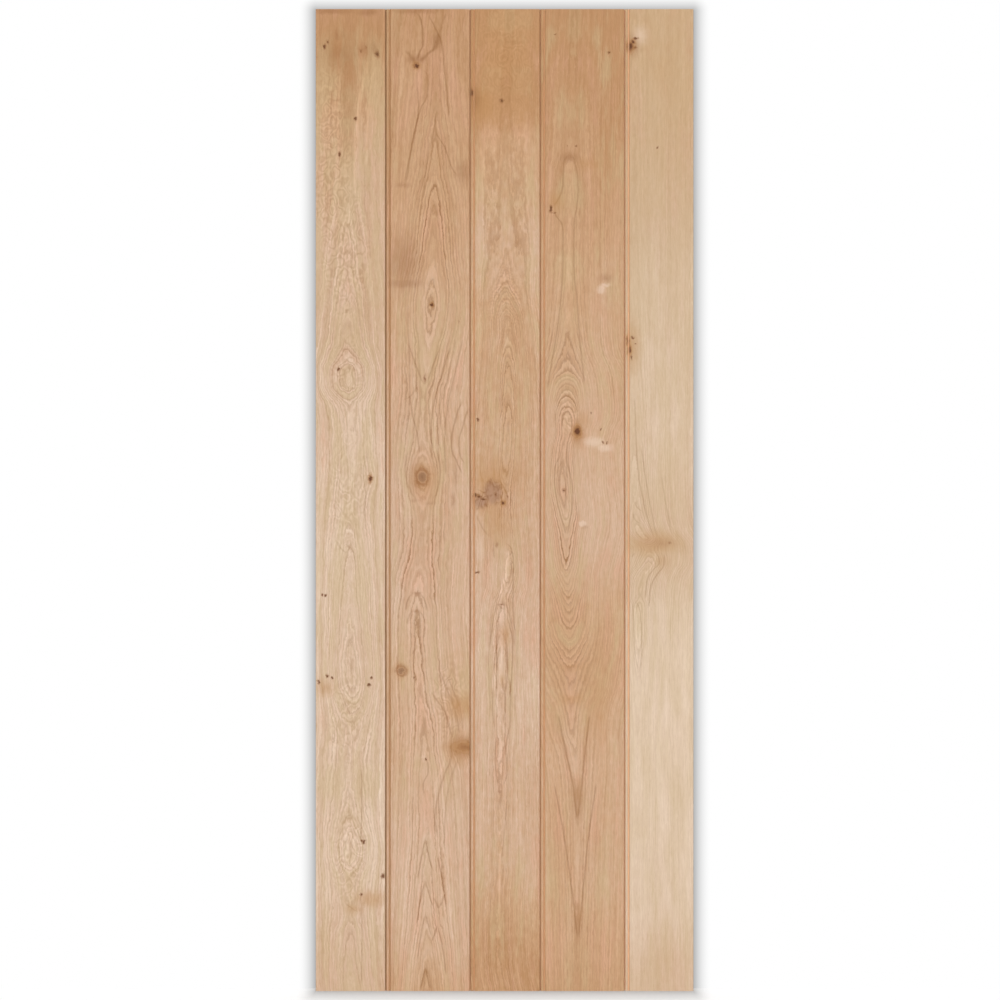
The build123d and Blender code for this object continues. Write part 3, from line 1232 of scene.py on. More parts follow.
BOARD_2 = OakFinish(
    pith_across={
        1981: -131, 1924: -136, 1789: -139, 1587: -142, 1385: -148, 1237: -160, 1132: -166,
        950: -166, 843: -174, 765: -176, 603: -170, 532: -162, 385: -158, 294: -156, 0: -156,
    },
    taper={
        1981: 19.9, 1850: 19.6, 1777: 19.0, 1728: 18.0, 1652: 17.0, 1625: 16.0, 1587: 15.0,
        1532: 14.0, 1472: 13.0, 1385: 11.6, 1304: 13.0, 1237: 14.0, 1193: 14.9, 1092: 14.7,
        991: 14.5, 870: 14.0, 843: 13.0, 793: 12.0, 760: 11.0, 688: 10.6, 603: 10.0, 530: 9.0,
        500: 8.4, 420: 7.8, 294: 7.0, 215: 6.0, 148: 5.0, 112: 4.0, 82: 3.0, 36: 2.0, 0: 1.5,
    },
    tone={1981: 0.90, 1550: 0.70, 1200: 0.48, 850: 0.38, 500: 0.46, 290: 0.34, 0: 0.66},
    blush={1981: -0.02, 0: -0.01},
    core={
        1981: 1.2, 1500: 1.2, 1385: 2.0, 1237: 1.2, 1100: 2.5, 870: 2.6, 793: 1.8, 600: 1.3,
        0: 1.2,
    },
    base={1981: 17.0, 1587: 14.0, 1385: 12.5, 870: 12.0, 600: 9.5, 0: 5.0},
    spread=60.0,
    ring_width=5.85,
    line={
        1981: 0.34, 1800: 0.36, 1700: 0.48, 1550: 0.60, 1400: 0.58, 1100: 0.60, 1040: 0.58,
        970: 0.54, 870: 0.60, 760: 0.60, 600: 0.46, 300: 0.36, 0: 0.36,
    },
    dark_rings=(11, 12, 16, 7),
    seed=11.7,
    wander=0.16,
    shiver=0.30,
    marks=(
        *spots(MarkKind.GLOW, (-164, 1032, 26, 40, 0.8), (-88, 575, 26, 20), (-88, 488, 26, 24)),
        # The first of these brown patches lies along the top edge and darkens it.
        *spots(
            MarkKind.STAIN,
            (-180, 1977, 44, 5, 0.8), (-177, 1880, 16, 7), (-136, 1918, 10, 16, 0.7),
            (-206, 1470, 28, 48, 0.85), (-196, 1448, 12, 26, 0.7), (-204, 1428, 30, 9),
            (-84, 1652, 14, 22, 0.8), (-204, 1626, 14, 5, 0.7), (-178, 1040, 12, 26, 0.7),
            (-176, 1024, 8, 9), (-182, 990, 10, 4, 0.5), (-150, 984, 12, 4, 0.5),
            (-104, 990, 4, 13, 0.8), (-99, 1038, 5, 22, 0.6), (-84, 492, 22, 17),
            (-178, 803, 8, 3, 0.8), (-178, 767, 8, 3, 0.7),
        ),
        *spots(MarkKind.EYE, (-209, 646, 12, 13)),
        Mark(MarkKind.EYE, -166, 1037, 16, 20, lift=-3.2, reach=2.4),
        *spots(
            MarkKind.PIN,
            (-93, 1351, 3, 4, 0.5), (-161, 1236, 3, 10, 0.7), (-73, 502, 4, 3, 0.7),
            (-72, 490, 5, 5, 0.6), (-98, 484, 3, 3, 0.6), (-159, 468, 2, 3),
            (-182, 632, 2, 4, 0.7),
        ),
        *spots(MarkKind.KNOT, (-178, 1867, 6, 6)),
        Mark(MarkKind.KNOT, -147, 1385, 3, 4, lift=-0.8, reach=6),
        Mark(MarkKind.KNOT, -81, 492, 22, 11, lift=2.2, reach=2.6, share=0.60),
        *spots(MarkKind.CURL, (-112, 590, 26, 60, 0.8)),
        Mark(MarkKind.SWELL, -133, 190, 9, 160, lift=0.9, reach=1),
    ),
    veins=(
        Vein({1976: -178, 1951: -167, 1918: -165, 1892: -172, 1874: -177}, 3.6, 0.60),
        Vein({1971: -154, 1943: -140, 1931: -134, 1910: -127, 1850: -120, 1760: -112}, 3.2, 0.45),
        Vein({1976: -118, 1950: -126, 1930: -131}, 4.0, 0.30),
        Vein({1940: -133, 1906: -139, 1890: -156, 1870: -174}, 8.0, 0.50),
        Vein({1900: -200, 1884: -188, 1868: -178}, 7.0, 0.42),
        Vein({1860: -166, 1842: -155, 1809: -156, 1781: -169, 1708: -186, 1627: -199}, 3.2, 0.45),
        Vein({1830: -176, 1781: -174, 1741: -181, 1678: -193, 1629: -203}, 2.6, 0.38),
        Vein({1777: -138, 1749: -140, 1700: -120, 1660: -106, 1640: -92}, 3.0, 0.40),
        Vein({1777: -138, 1749: -141, 1690: -153, 1600: -166}, 2.6, 0.25),
        Vein({1300: -116, 1234: -135, 1193: -147, 1132: -154, 1090: -152}, 3.0, -0.30),
        Vein({1300: -110, 1234: -129, 1193: -141, 1132: -148, 1070: -146}, 2.6, 0.40),
        Vein({1300: -104, 1234: -122, 1193: -134, 1132: -141, 1070: -139}, 3.0, -0.35),
        Vein({1320: -96, 1234: -116, 1193: -128, 1132: -135, 1060: -133}, 2.4, 0.25),
        Vein({1320: -90, 1234: -110, 1183: -121, 1112: -128, 1060: -127}, 3.0, -0.35),
        Vein({1320: -83, 1234: -103, 1183: -114, 1112: -121, 1040: -119}, 2.6, 0.34),
        Vein({1300: -130, 1260: -145, 1222: -158}, 3.0, 0.40),
        Vein({1310: -196, 1260: -178, 1222: -163}, 3.0, 0.35),
        Vein({1203: -192, 1163: -186, 1122: -176, 1080: -171}, 2.6, 0.40),
        Vein({1220: -176, 1200: -190, 1190: -208}, 4.0, 0.25),
        Vein({1193: -85, 1153: -99, 1102: -107, 1072: -98, 1040: -84}, 3.2, 0.45),
        Vein({1180: -72, 1140: -84, 1100: -92, 1060: -80}, 3.2, 0.40),
        Vein({1090: -196, 1050: -200, 1010: -190, 990: -178}, 3.4, 0.34),
        Vein({1090: -136, 1050: -130, 1010: -136, 990: -146}, 3.4, 0.34),
        Vein({804: -184, 798: -190, 786: -196, 764: -200}, 3.4, 0.42),
        Vein({804: -173, 798: -167, 786: -161, 764: -157}, 3.4, 0.42),
        Vein({768: -184, 762: -190, 752: -194, 738: -197}, 3.2, 0.34),
        Vein({768: -173, 762: -168, 752: -163, 738: -160}, 3.2, 0.34),
        Vein({310: -160, 268: -168, 223: -176}, 2.6, 0.50),
        Vein({310: -160, 267: -152, 240: -144}, 2.6, 0.50),
        Vein({276: -136, 223: -126, 165: -118}, 2.6, 0.45),
        Vein({224: -160, 183: -170, 132: -178}, 2.6, 0.45),
        Vein({224: -160, 190: -151, 164: -142}, 2.6, 0.45),
        Vein({190: -143, 180: -139, 165: -132}, 4.0, 0.40),
        Vein({198: -121, 184: -125, 165: -133}, 4.0, 0.30),
        Vein({158: -160, 110: -170, 60: -176}, 2.6, 0.40),
        Vein({158: -160, 130: -153, 106: -147}, 2.6, 0.40),
        Vein({134: -136, 116: -141, 98: -147}, 2.8, 0.50),
        Vein({134: -136, 80: -124, 30: -118}, 2.8, 0.45),
        Vein({50: -160, 26: -165, 0: -170}, 3.0, 0.60),
        Vein({50: -160, 26: -155, 0: -150}, 3.0, 0.60),
        Vein({607: -150, 587: -137, 563: -121, 526: -110, 504: -102}, 3.6, 0.38),
        Vein({652: -134, 607: -116, 563: -99, 516: -91}, 3.4, 0.32),
        Vein({640: -118, 600: -101, 560: -88, 520: -84}, 2.6, 0.28),
        Vein({506: -108, 480: -108, 440: -120, 400: -132, 350: -140, 310: -136}, 4.0, 0.34),
        Vein({500: -116, 470: -120, 430: -134, 390: -146}, 5.0, -0.35),
        Vein({472: -92, 435: -106, 385: -117, 284: -124}, 3.6, 0.24),
        Vein({472: -160, 445: -154, 415: -164, 389: -162}, 2.6, 0.35),
    ),
)

BOARD_3 = OakFinish(
    pith_across={
        1981: 11, 1600: 1, 1486: 5, 1430: 1, 1318: 7, 1179: 7, 991: 1, 870: 7, 789: -3, 678: -9,
        516: -7, 455: -9, 264: -9, 142: -15, 0: -3,
    },
    taper={
        1981: 20.0, 1698: 19.0, 1567: 18.0, 1486: 17.0, 1455: 16.0, 1431: 15.0, 1418: 14.0,
        1408: 13.0, 1398: 12.0, 1388: 11.0, 1378: 10.0, 1367: 9.0, 1355: 8.0, 1318: 7.0, 1300: 6.0,
        1280: 5.0, 1258: 4.0, 1223: 3.0, 1179: 2.0, 1112: 1.0, 991: 1.5, 910: 2.6, 880: 2.0,
        850: 1.4, 800: 2.6, 785: 2.2, 730: 1.0, 690: 0.4, 607: 1.0, 516: 1.3, 455: 1.8, 264: 2.4,
        0: 1.5,
    },
    tone={
        1981: 1.10, 1778: 1.06, 1724: 0.80, 1600: 0.64, 1500: 0.50, 1300: 0.70, 1190: 0.64,
        800: 0.36, 600: 0.32, 480: 0.36, 380: 0.46, 250: 0.54, 170: 0.69, 90: 0.85, 0: 0.92,
    },
    blush={1981: -0.04, 1750: -0.04, 1600: -0.07, 1300: -0.03, 0: -0.01},
    core={1981: 2.0, 1500: 1.5, 1200: 1.4, 0: 1.3},
    base={1981: 14.0, 1486: 12.0, 1179: 8.0, 991: 6.5, 600: 5.0, 0: 3.5},
    spread={1981: 34.0, 1300: 30.0, 800: 30.0, 0: 34.0},
    ring_width=4.8,
    line={
        1981: 0.08, 1750: 0.16, 1500: 0.44, 1350: 0.66, 1100: 0.70, 900: 0.52, 650: 0.44,
        480: 0.36, 0: 0.36,
    },
    dark_rings=(2, 4, 15),
    mottle=0.24,
    seam=Tone.WARM_SEAM_SHADE,
    seed=23.3,
    wander=0.20,
    shiver=0.40,
    marks=(
        *spots(
            MarkKind.GLOW,
            (0, 1880, 75, 150, 0.6), (-20, 1040, 50, 34, 0.8), (-47, 1031, 9, 9),
            (-12, 945, 26, 44, 0.85), (-46, 1790, 24, 36), (1, 722, 8, 24, 0.8),
            (-6, 630, 5, 12, 0.8),
        ),
        *spots(
            MarkKind.FLECK,
            (-48, 890, 12, 70, 0.55), (-6, 752, 14, 40, 0.66), (-7, 670, 11, 76, 0.62),
            (-15, 578, 7, 40, 0.55), (-10, 480, 6, 110, 0.42), (-11, 462, 6, 34, 0.55),
        ),
        *spots(
            MarkKind.STAIN,
            (-60, 1800, 10, 22, 0.8), (-46, 982, 16, 12, 0.35), (-5, 1192, 10, 12, 0.5),
        ),
        *spots(MarkKind.BURL, (-48, 988, 17, 17, 0.86)),
        Mark(MarkKind.BURL, -24, 1006, 19, 24, lift=3.0, reach=2.0),
        *spots(
            MarkKind.PIN,
            (-7, 1797, 5, 5, 0.8), (-67, 1813, 6, 7), (-54, 1152, 3, 3), (-60, 1001, 4, 4),
            (-52, 997, 6, 3, 0.9), (-43, 992, 6, 3, 0.9), (-29, 1026, 3, 9, 0.62),
            (-18, 1001, 4, 4, 0.75), (6, 997, 3, 3, 0.7), (-38, 981, 4, 5, 0.6),
            (-15, 900, 4, 8, 0.55), (-6, 780, 7, 2, 0.7), (-56, 845, 5, 2), (-10, 402, 4, 4, 0.5),
        ),
        *spots(MarkKind.KNOT, (-4, 985, 4, 5, 0.9)),
        *spots(MarkKind.RIPPLE, (2, 1390, 30, 60, 0.6)),
        *spots(MarkKind.CURL, (0, 1880, 60, 110, 0.55)),
    ),
    veins=(
        Vein({1034: -14, 1026: -8, 1015: -1, 996: 7}, 3.0, 0.45),
        Vein({1032: -34, 1022: -35, 1006: -32}, 2.6, 0.55),
        Vein({1030: -30, 1018: -22, 1008: -20}, 3.4, 0.50),
        Vein({1013: -58, 1008: -46, 998: -34}, 5.0, 0.40),
        Vein({1005: -60, 999: -50, 990: -36}, 6.0, 0.50),
        Vein({1003: -33, 990: -37, 974: -42}, 3.4, 0.45),
        Vein({1006: -24, 994: -19, 980: -22}, 2.6, 0.30),
        Vein({978: -11, 966: -10, 950: -13}, 2.6, 0.35),
        Vein({960: -57, 935: -45, 915: -30}, 3.5, 0.30),
        Vein({912: -22, 890: -22, 870: -20}, 2.5, 0.40),
        Vein({905: 0, 895: 12, 885: 14, 876: 2}, 2.6, 0.40),
        Vein({892: 4, 880: 17, 868: 17, 858: 8}, 2.6, 0.38),
        Vein({872: 6, 858: 18, 846: 18, 838: 12}, 2.6, 0.35),
        Vein({895: 6, 850: 3, 810: -5, 790: -8}, 6.0, -0.60),
        Vein({870: 10, 845: 14, 828: 13}, 2.4, 0.35),
        Vein({862: 20, 830: 17, 790: 17, 720: 22}, 2.4, 0.35),
        Vein({781: -14, 776: -9, 769: -3}, 3.5, 0.45),
        Vein({769: -19, 708: -21, 668: -19, 600: -20}, 3.2, -0.40),
        Vein({773: 2, 728: 9, 680: 13, 620: 10}, 3.0, -0.25),
        Vein({695: -10, 672: -14, 645: -16}, 2.6, 0.50),
        Vein({765: -12, 735: -14, 688: -17, 600: -16}, 2.6, 0.42),
        Vein({765: 2, 735: 10, 700: 16, 640: 14, 590: 10}, 2.8, 0.45),
        Vein({700: -4, 680: 3, 640: 5, 600: 2}, 2.6, 0.40),
        Vein({768: -27, 708: -30, 650: -32, 560: -27}, 2.4, 0.20),
        Vein({716: -12, 680: -6, 640: -10, 600: -4}, 3.4, -0.40),
        Vein({760: 12, 700: 24, 650: 25, 560: 20}, 2.4, 0.18),
        Vein({788: -12, 760: -20, 720: -27, 690: -29}, 2.8, 0.32),
        Vein({788: 0, 760: 9, 720: 18, 690: 20}, 2.8, 0.30),
        Vein({727: -7, 700: -14, 675: -19, 640: -21}, 3.0, 0.42),
        Vein({727: -4, 705: 2, 688: 5, 640: 7}, 3.0, 0.40),
        Vein({638: -6, 610: -2, 580: 1, 535: -3}, 3.0, 0.42),
        Vein({638: 8, 600: 12, 560: 12, 513: 6, 470: -2}, 2.6, 0.34),
        Vein({615: -24, 575: -24, 530: -20}, 2.4, 0.30),
        Vein({516: -16, 480: -19, 450: -18, 410: -12}, 2.4, 0.34),
        Vein({516: -2, 480: 3, 450: 4, 410: -4}, 2.4, 0.32),
        Vein({590: -9, 520: -8, 466: -7, 385: -11}, 3.2, -0.45),
        Vein({385: -9, 260: -10, 100: -11}, 4.0, -0.45),
        Vein({385: 4, 300: -2, 260: -8}, 2.2, 0.25),
        Vein({1710: -50, 1660: -42, 1610: -35}, 4.0, -0.35),
    ),
)

BOARD_4 = OakFinish(
    pith_across={
        1981: 142, 1682: 132, 1516: 130, 1340: 128, 1211: 126, 1130: 124, 1058: 116, 990: 120,
        937: 124, 870: 124, 809: 128, 666: 132, 526: 136, 486: 142, 385: 146, 0: 146,
    },
    taper={
        1981: 12.9, 1819: 12.6, 1690: 12.3, 1652: 11.1, 1516: 10.7, 1415: 10.4, 1325: 9.0,
        1279: 8.0, 1251: 7.0, 1241: 6.0, 1233: 5.0, 1225: 4.0, 1213: 3.0, 1199: 2.0, 1189: 1.0,
        1179: 0.2, 1169: -0.8, 1160: -1.2, 1100: -1.5, 1050: -2.0, 1020: -2.4, 980: -2.0, 935: 0.0,
        905: 1.0, 868: 2.0, 836: 4.0, 820: 5.0, 806: 6.0, 794: 7.0, 779: 8.0, 764: 9.0, 745: 10.0,
        733: 11.0, 714: 12.0, 701: 13.0, 688: 14.0, 671: 15.0, 653: 16.0, 622: 17.0, 581: 18.0,
        526: 19.0, 486: 20.0, 385: 21.0, 122: 22.0, 0: 22.4,
    },
    tone={
        1981: 1.04, 1690: 0.90, 1500: 0.70, 1300: 0.60, 930: 0.46, 700: 0.66, 400: 0.57, 0: 0.80,
    },
    blush={1981: -0.05, 1300: -0.03, 0: -0.01},
    core={
        1981: 2.5, 1340: 2.4, 1270: 5.0, 1225: 7.0, 1150: 5.0, 1100: 1.6, 930: 1.2, 820: 1.3,
        760: 2.6, 700: 3.8, 641: 4.2, 581: 2.6, 526: 1.8, 385: 1.3, 0: 1.3,
    },
    base={
        1981: 9.0, 1325: 8.0, 1200: 5.5, 1100: 3.5, 980: 2.0, 900: 4.0, 836: 7.0, 745: 9.5,
        688: 11.5, 622: 14.0, 526: 16.5, 385: 18.5, 122: 20.0, 0: 20.5,
    },
    spread={1981: 43.0, 1330: 38.0, 1230: 30.0, 1150: 30.0, 1050: 42.0, 800: 44.0, 0: 44.0},
    ring_width=4.9,
    line={
        1981: 0.14, 1720: 0.16, 1660: 0.24, 1400: 0.30, 1330: 0.66, 1250: 0.80, 1170: 0.76,
        1050: 0.50, 850: 0.62, 700: 0.60, 560: 0.38, 300: 0.34, 0: 0.40,
    },
    dark_rings=(0, 2, 9, 19),
    beside=0.15,
    seam=Tone.WARM_SEAM_SHADE,
    seed=37.9,
    wander=0.10,
    shiver=0.27,
    marks=(
        *spots(
            MarkKind.GLOW,
            (170, 1668, 24, 12, 0.6), (104, 1592, 14, 16, 0.8), (148, 1124, 11, 20),
            (158, 1150, 14, 14, 0.6), (190, 560, 26, 90, 0.5), (138, 590, 22, 10, 0.7),
            (138, 655, 26, 8, 0.5), (147, 396, 13, 26, 0.6), (148, 150, 11, 18, 0.5),
        ),
        *spots(
            MarkKind.FLECK,
            (195, 1416, 9, 10, 0.9), (203, 1424, 12, 5, 0.8), (180, 1108, 26, 12, 0.8),
            (202, 1096, 20, 10, 0.8), (157, 943, 8, 6), (143, 458, 14, 46, 0.52),
            (147, 258, 13, 94, 0.48),
        ),
        *spots(
            MarkKind.STAIN,
            (130, 1682, 16, 9, 0.8), (205, 1438, 14, 8, 0.7), (148, 1126, 9, 18, 0.8),
            (163, 936, 6, 4, 0.5), (147, 388, 11, 36, 0.62), (148, 140, 9, 30, 0.6),
        ),
        *spots(
            MarkKind.PIN,
            (102, 1930, 4, 2, 0.7), (211, 1894, 3, 3, 0.8), (128, 1706, 2, 2, 0.7),
            (144, 1705, 3, 2, 0.8), (93, 1578, 3, 7), (101, 1570, 4, 2, 0.7),
            (175, 1166, 2, 3, 0.8), (194, 1133, 2, 3, 0.8), (198, 1107, 2, 3, 0.8),
            (207, 1106, 2, 3, 0.8), (119, 1010, 3, 4, 0.8),
        ),
        Mark(MarkKind.KNOT, 147, 1129, 7, 11, lift=-0.8, reach=3, share=0.92),
        *spots(MarkKind.CURL, (130, 1156, 14, 22)),
    ),
    veins=(
        Vein({1690: 130, 1672: 120, 1617: 116, 1597: 108, 1579: 95}, 3.5, 0.42),
        Vein(
            {
                1577: 95, 1561: 106, 1526: 118, 1456: 117, 1405: 114, 1334: 106, 1274: 96,
                1213: 86,
            },
            2.8, 0.42,
        ),
        Vein(
            {
                1690: 133, 1668: 143, 1617: 148, 1532: 140, 1472: 140, 1395: 146, 1324: 151,
                1223: 161,
            },
            2.8, 0.40,
        ),
        Vein({1680: 131, 1600: 131, 1500: 129, 1400: 129, 1340: 128}, 11.0, -0.22),
        Vein({1334: 98, 1290: 90, 1240: 82}, 2.4, 0.25),
        Vein({1110: 130, 1080: 126, 1040: 133, 1000: 137, 950: 132, 918: 126}, 2.6, 0.35),
        Vein({1120: 122, 1080: 112, 1040: 100, 1000: 104, 950: 116, 918: 124}, 2.6, 0.30),
        Vein({1070: 116, 1040: 108, 1000: 110, 985: 117}, 2.2, 0.25),
        Vein({1070: 118, 1040: 124, 1000: 123, 985: 118}, 2.2, 0.25),
        Vein({560: 172, 480: 162, 420: 156, 345: 148}, 3.2, 0.50),
        Vein({560: 108, 480: 124, 420: 137, 345: 146}, 3.2, 0.50),
        Vein({420: 185, 300: 168, 200: 158, 106: 149}, 3.0, 0.45),
        Vein({420: 100, 300: 122, 200: 136, 106: 147}, 3.0, 0.45),
    ),
)

BOARD_5 = OakFinish(
    pith_across={
        1981: 262, 1000: 262, 940: 268, 900: 290, 880: 293, 850: 285, 800: 274, 700: 270, 0: 266,
    },
    taper={
        1981: 9.0, 1315: 7.0, 1193: 6.0, 1092: 5.0, 1003: 4.0, 951: 2.6, 918: 1.4, 906: 3.0,
        893: 6.2, 884: 5.8, 876: 5.0, 866: 4.0, 852: 3.0, 830: 2.0, 812: 1.8, 796: 2.0, 785: 1.0,
        740: 0.4, 690: 1.0, 650: 1.6, 600: 2.4, 486: 3.5, 0: 4.5,
    },
    tone={
        1981: 0.62, 1640: 0.44, 1300: 0.07, 1100: 0.06, 900: 0.22, 650: -0.14, 300: -0.08, 0: 0.26,
    },
    blush={1981: -0.19, 1500: -0.20, 1300: -0.15, 1000: -0.15, 600: -0.13, 0: -0.12},
    core={1981: 3.0, 960: 2.0, 890: 2.0, 800: 1.0, 600: 1.2, 0: 3.0},
    base={1981: 7.0, 0: 6.0},
    spread=38.0,
    ring_width=5.0,
    line={1981: 0.10, 1200: 0.18, 990: 0.40, 860: 0.50, 700: 0.36, 600: 0.14, 0: 0.10},
    streak=0.20,
    ticks=0.24,
    cloud=0.14,
    hue_swing=0.45,
    seam=Tone.PALE_SEAM_SHADE,
    seed=51.3,
    wander=0.14,
    marks=(
        *spots(
            MarkKind.GLOW,
            (256, 1300, 14, 44, 0.9), (302, 903, 46, 20), (316, 1860, 22, 50, 0.35),
            (330, 60, 50, 60, 0.35), (318, 872, 26, 30, 0.5),
        ),
        *spots(MarkKind.FLECK, (274, 1928, 22, 26, 0.7)),
        *spots(MarkKind.STAIN, (257, 1908, 14, 20, 0.8), (318, 903, 26, 9, 0.45)),
        *spots(
            MarkKind.PIN,
            (265, 1922, 5, 3), (262, 1903, 4, 3, 0.8), (309, 1702, 2, 3, 0.8),
            (256, 1278, 3, 5, 0.8), (259, 1318, 3, 3, 0.8), (264, 1306, 2, 2, 0.8),
            (333, 903, 4, 3, 0.6),
        ),
        *spots(
            MarkKind.KNOT,
            (253, 1905, 7, 10, 0.9), (259, 1914, 5, 5, 0.9), (249, 1312, 4, 9, 0.9),
            (252, 1294, 4, 9, 0.9),
        ),
    ),
    veins=(
        Vein({1200: 262, 1100: 266, 1052: 269, 1003: 277, 951: 289, 914: 301}, 2.6, 0.28),
        Vein({1100: 276, 1052: 282, 991: 292, 918: 306}, 2.6, 0.26),
        Vein({1044: 316, 991: 324, 925: 336}, 2.6, 0.22),
        Vein({990: 262, 975: 268, 966: 280}, 3.0, 0.30),
        Vein({966: 258, 950: 264, 940: 280}, 3.0, 0.28),
        Vein({886: 322, 868: 322, 841: 308, 817: 296, 769: 290}, 2.8, 0.34),
        Vein({884: 308, 868: 312, 850: 300, 829: 288, 789: 284}, 2.8, 0.32),
        Vein({890: 296, 876: 304, 856: 296, 836: 282, 800: 279}, 2.6, -0.40),
        Vein({884: 262, 874: 256}, 3.0, 0.25),
        Vein({790: 258, 740: 260, 700: 262, 640: 270}, 2.4, 0.26),
        Vein({790: 262, 760: 274, 700: 277, 640: 272}, 2.4, 0.30),
        Vein({780: 263, 720: 265, 660: 268}, 3.0, -0.40),
    ),
)


@dataclass
class BoardedFront:
    """The boards of the leaf, each with its own figure.

    Attributes:
        finishes: The boards' finishes, from left to right.
    """

    finishes: tuple[OakFinish, ...] = (BOARD_1, BOARD_2, BOARD_3, BOARD_4, BOARD_5)

    def dress(self, nodes: dict[str, bpy.types.Object], kit: GroupKit) -> None:
        """Gives each board its material.

        Args:
            nodes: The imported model's objects, by name.
            kit: The node groups.
        """
        for number, finish in enumerate(self.finishes, start=1):
            name = f"board_{number}"
            give(nodes[name], finish.material(f"oak_{name}", kit))
            LOG.info("%s: oak with %d marks", name, len(finish.marks))


@dataclass
class LedgedBack:
    """The three ledges, with their screws and the plugs over them.

    Attributes:
        heights: The height of each ledge's centre line, by the end of its name.
        pith_shifts: How far above it the pith lies at the ledge's left end.
        plug_pith: How far above it the plugs' pith lies.
        length: A ledge's length, in millimetres.
        spread: How far from the pith its arches reach.
        ledge_seed: The first ledge's seed.
        plug_seed: The seed of the first ledge's plugs.
        seed_step: What each further ledge adds to both.
    """

    heights: tuple[tuple[str, float], ...] = (
        ("top", 1781.0),
        ("middle", 1005.5),
        ("bottom", 230.0),
    )
    pith_shifts: tuple[float, ...] = (12.0, -22.0, 30.0)
    plug_pith: float = 150.0
    length: float = 722.0
    spread: float = 45.0
    ledge_seed: float = 71.0
    plug_seed: float = 113.0
    seed_step: float = 9.0

    def ledge_finish(self, number: int, height: float) -> OakFinish:
        """The figure of one ledge, which is a plain board laid on its side.

        Args:
            number: The ledge's number, from 0 at the top.
            height: The height of its centre line.

        Returns:
            The finish.
        """
        pith = height + self.pith_shifts[number]
        half = self.length / 2
        return OakFinish(
            pith_across={0: pith, half: pith - 16, self.length: pith + 10},
            taper={0: 9.0 + number, half: 6.5, self.length: 10.0},
            tone={0: 0.50, self.length: 0.44},
            core=4.0,
            base=7.0,
            blush={0: -0.02, self.length: 0.0},
            spread=self.spread,
            ring_width=5.4,
            line={0: 0.55, self.length: 0.50},
            wander=0.22,
            seed=self.ledge_seed + self.seed_step * number,
            grain=Grain.ACROSS,
            length=self.length,
        )

    def plug_finish(self, number: int, height: float) -> OakFinish:
        """The figure of the plugs in one ledge, cut from a darker piece.

        Args:
            number: The ledge's number, from 0 at the top.
            height: The height of its centre line.

        Returns:
            The finish.
        """
        return OakFinish(
            pith_across=height + self.plug_pith,
            taper={0: 6.0, self.length: 8.0},
            tone={0: 0.84, self.length: 0.90},
            core=3.0,
            base=8.0,
            blush=0.0,
            spread=self.spread,
            ring_width=2.4,
            line=0.45,
            wander=0.4,
            seed=self.plug_seed + self.seed_step * number,
            grain=Grain.ACROSS,
            length=self.length,
        )

    def dress(self, nodes: dict[str, bpy.types.Object], kit: GroupKit) -> None:
        """Gives the ledges, screws and plugs their materials.

        Args:
            nodes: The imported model's objects, by name.
            kit: The node groups.
        """
        steel = SteelFinish().material("stainless_steel")
        for number, (place, height) in enumerate(self.heights):
            ledge = self.ledge_finish(number, height)
            plug = self.plug_finish(number, height)
            give(nodes[f"ledge_{place}"], ledge.material(f"oak_ledge_{place}", kit))
            give(nodes[f"plugs_{place}"], plug.material(f"oak_plugs_{place}", kit))
            give(nodes[f"screws_{place}"], steel)
            LOG.info("ledge_%s: oak, with its screws and plugs", place)


def give(piece: bpy.types.Object, finish: bpy.types.Material) -> None:
    """Puts one material all over a piece."""
    piece.data.materials.clear()
    piece.data.materials.append(finish)


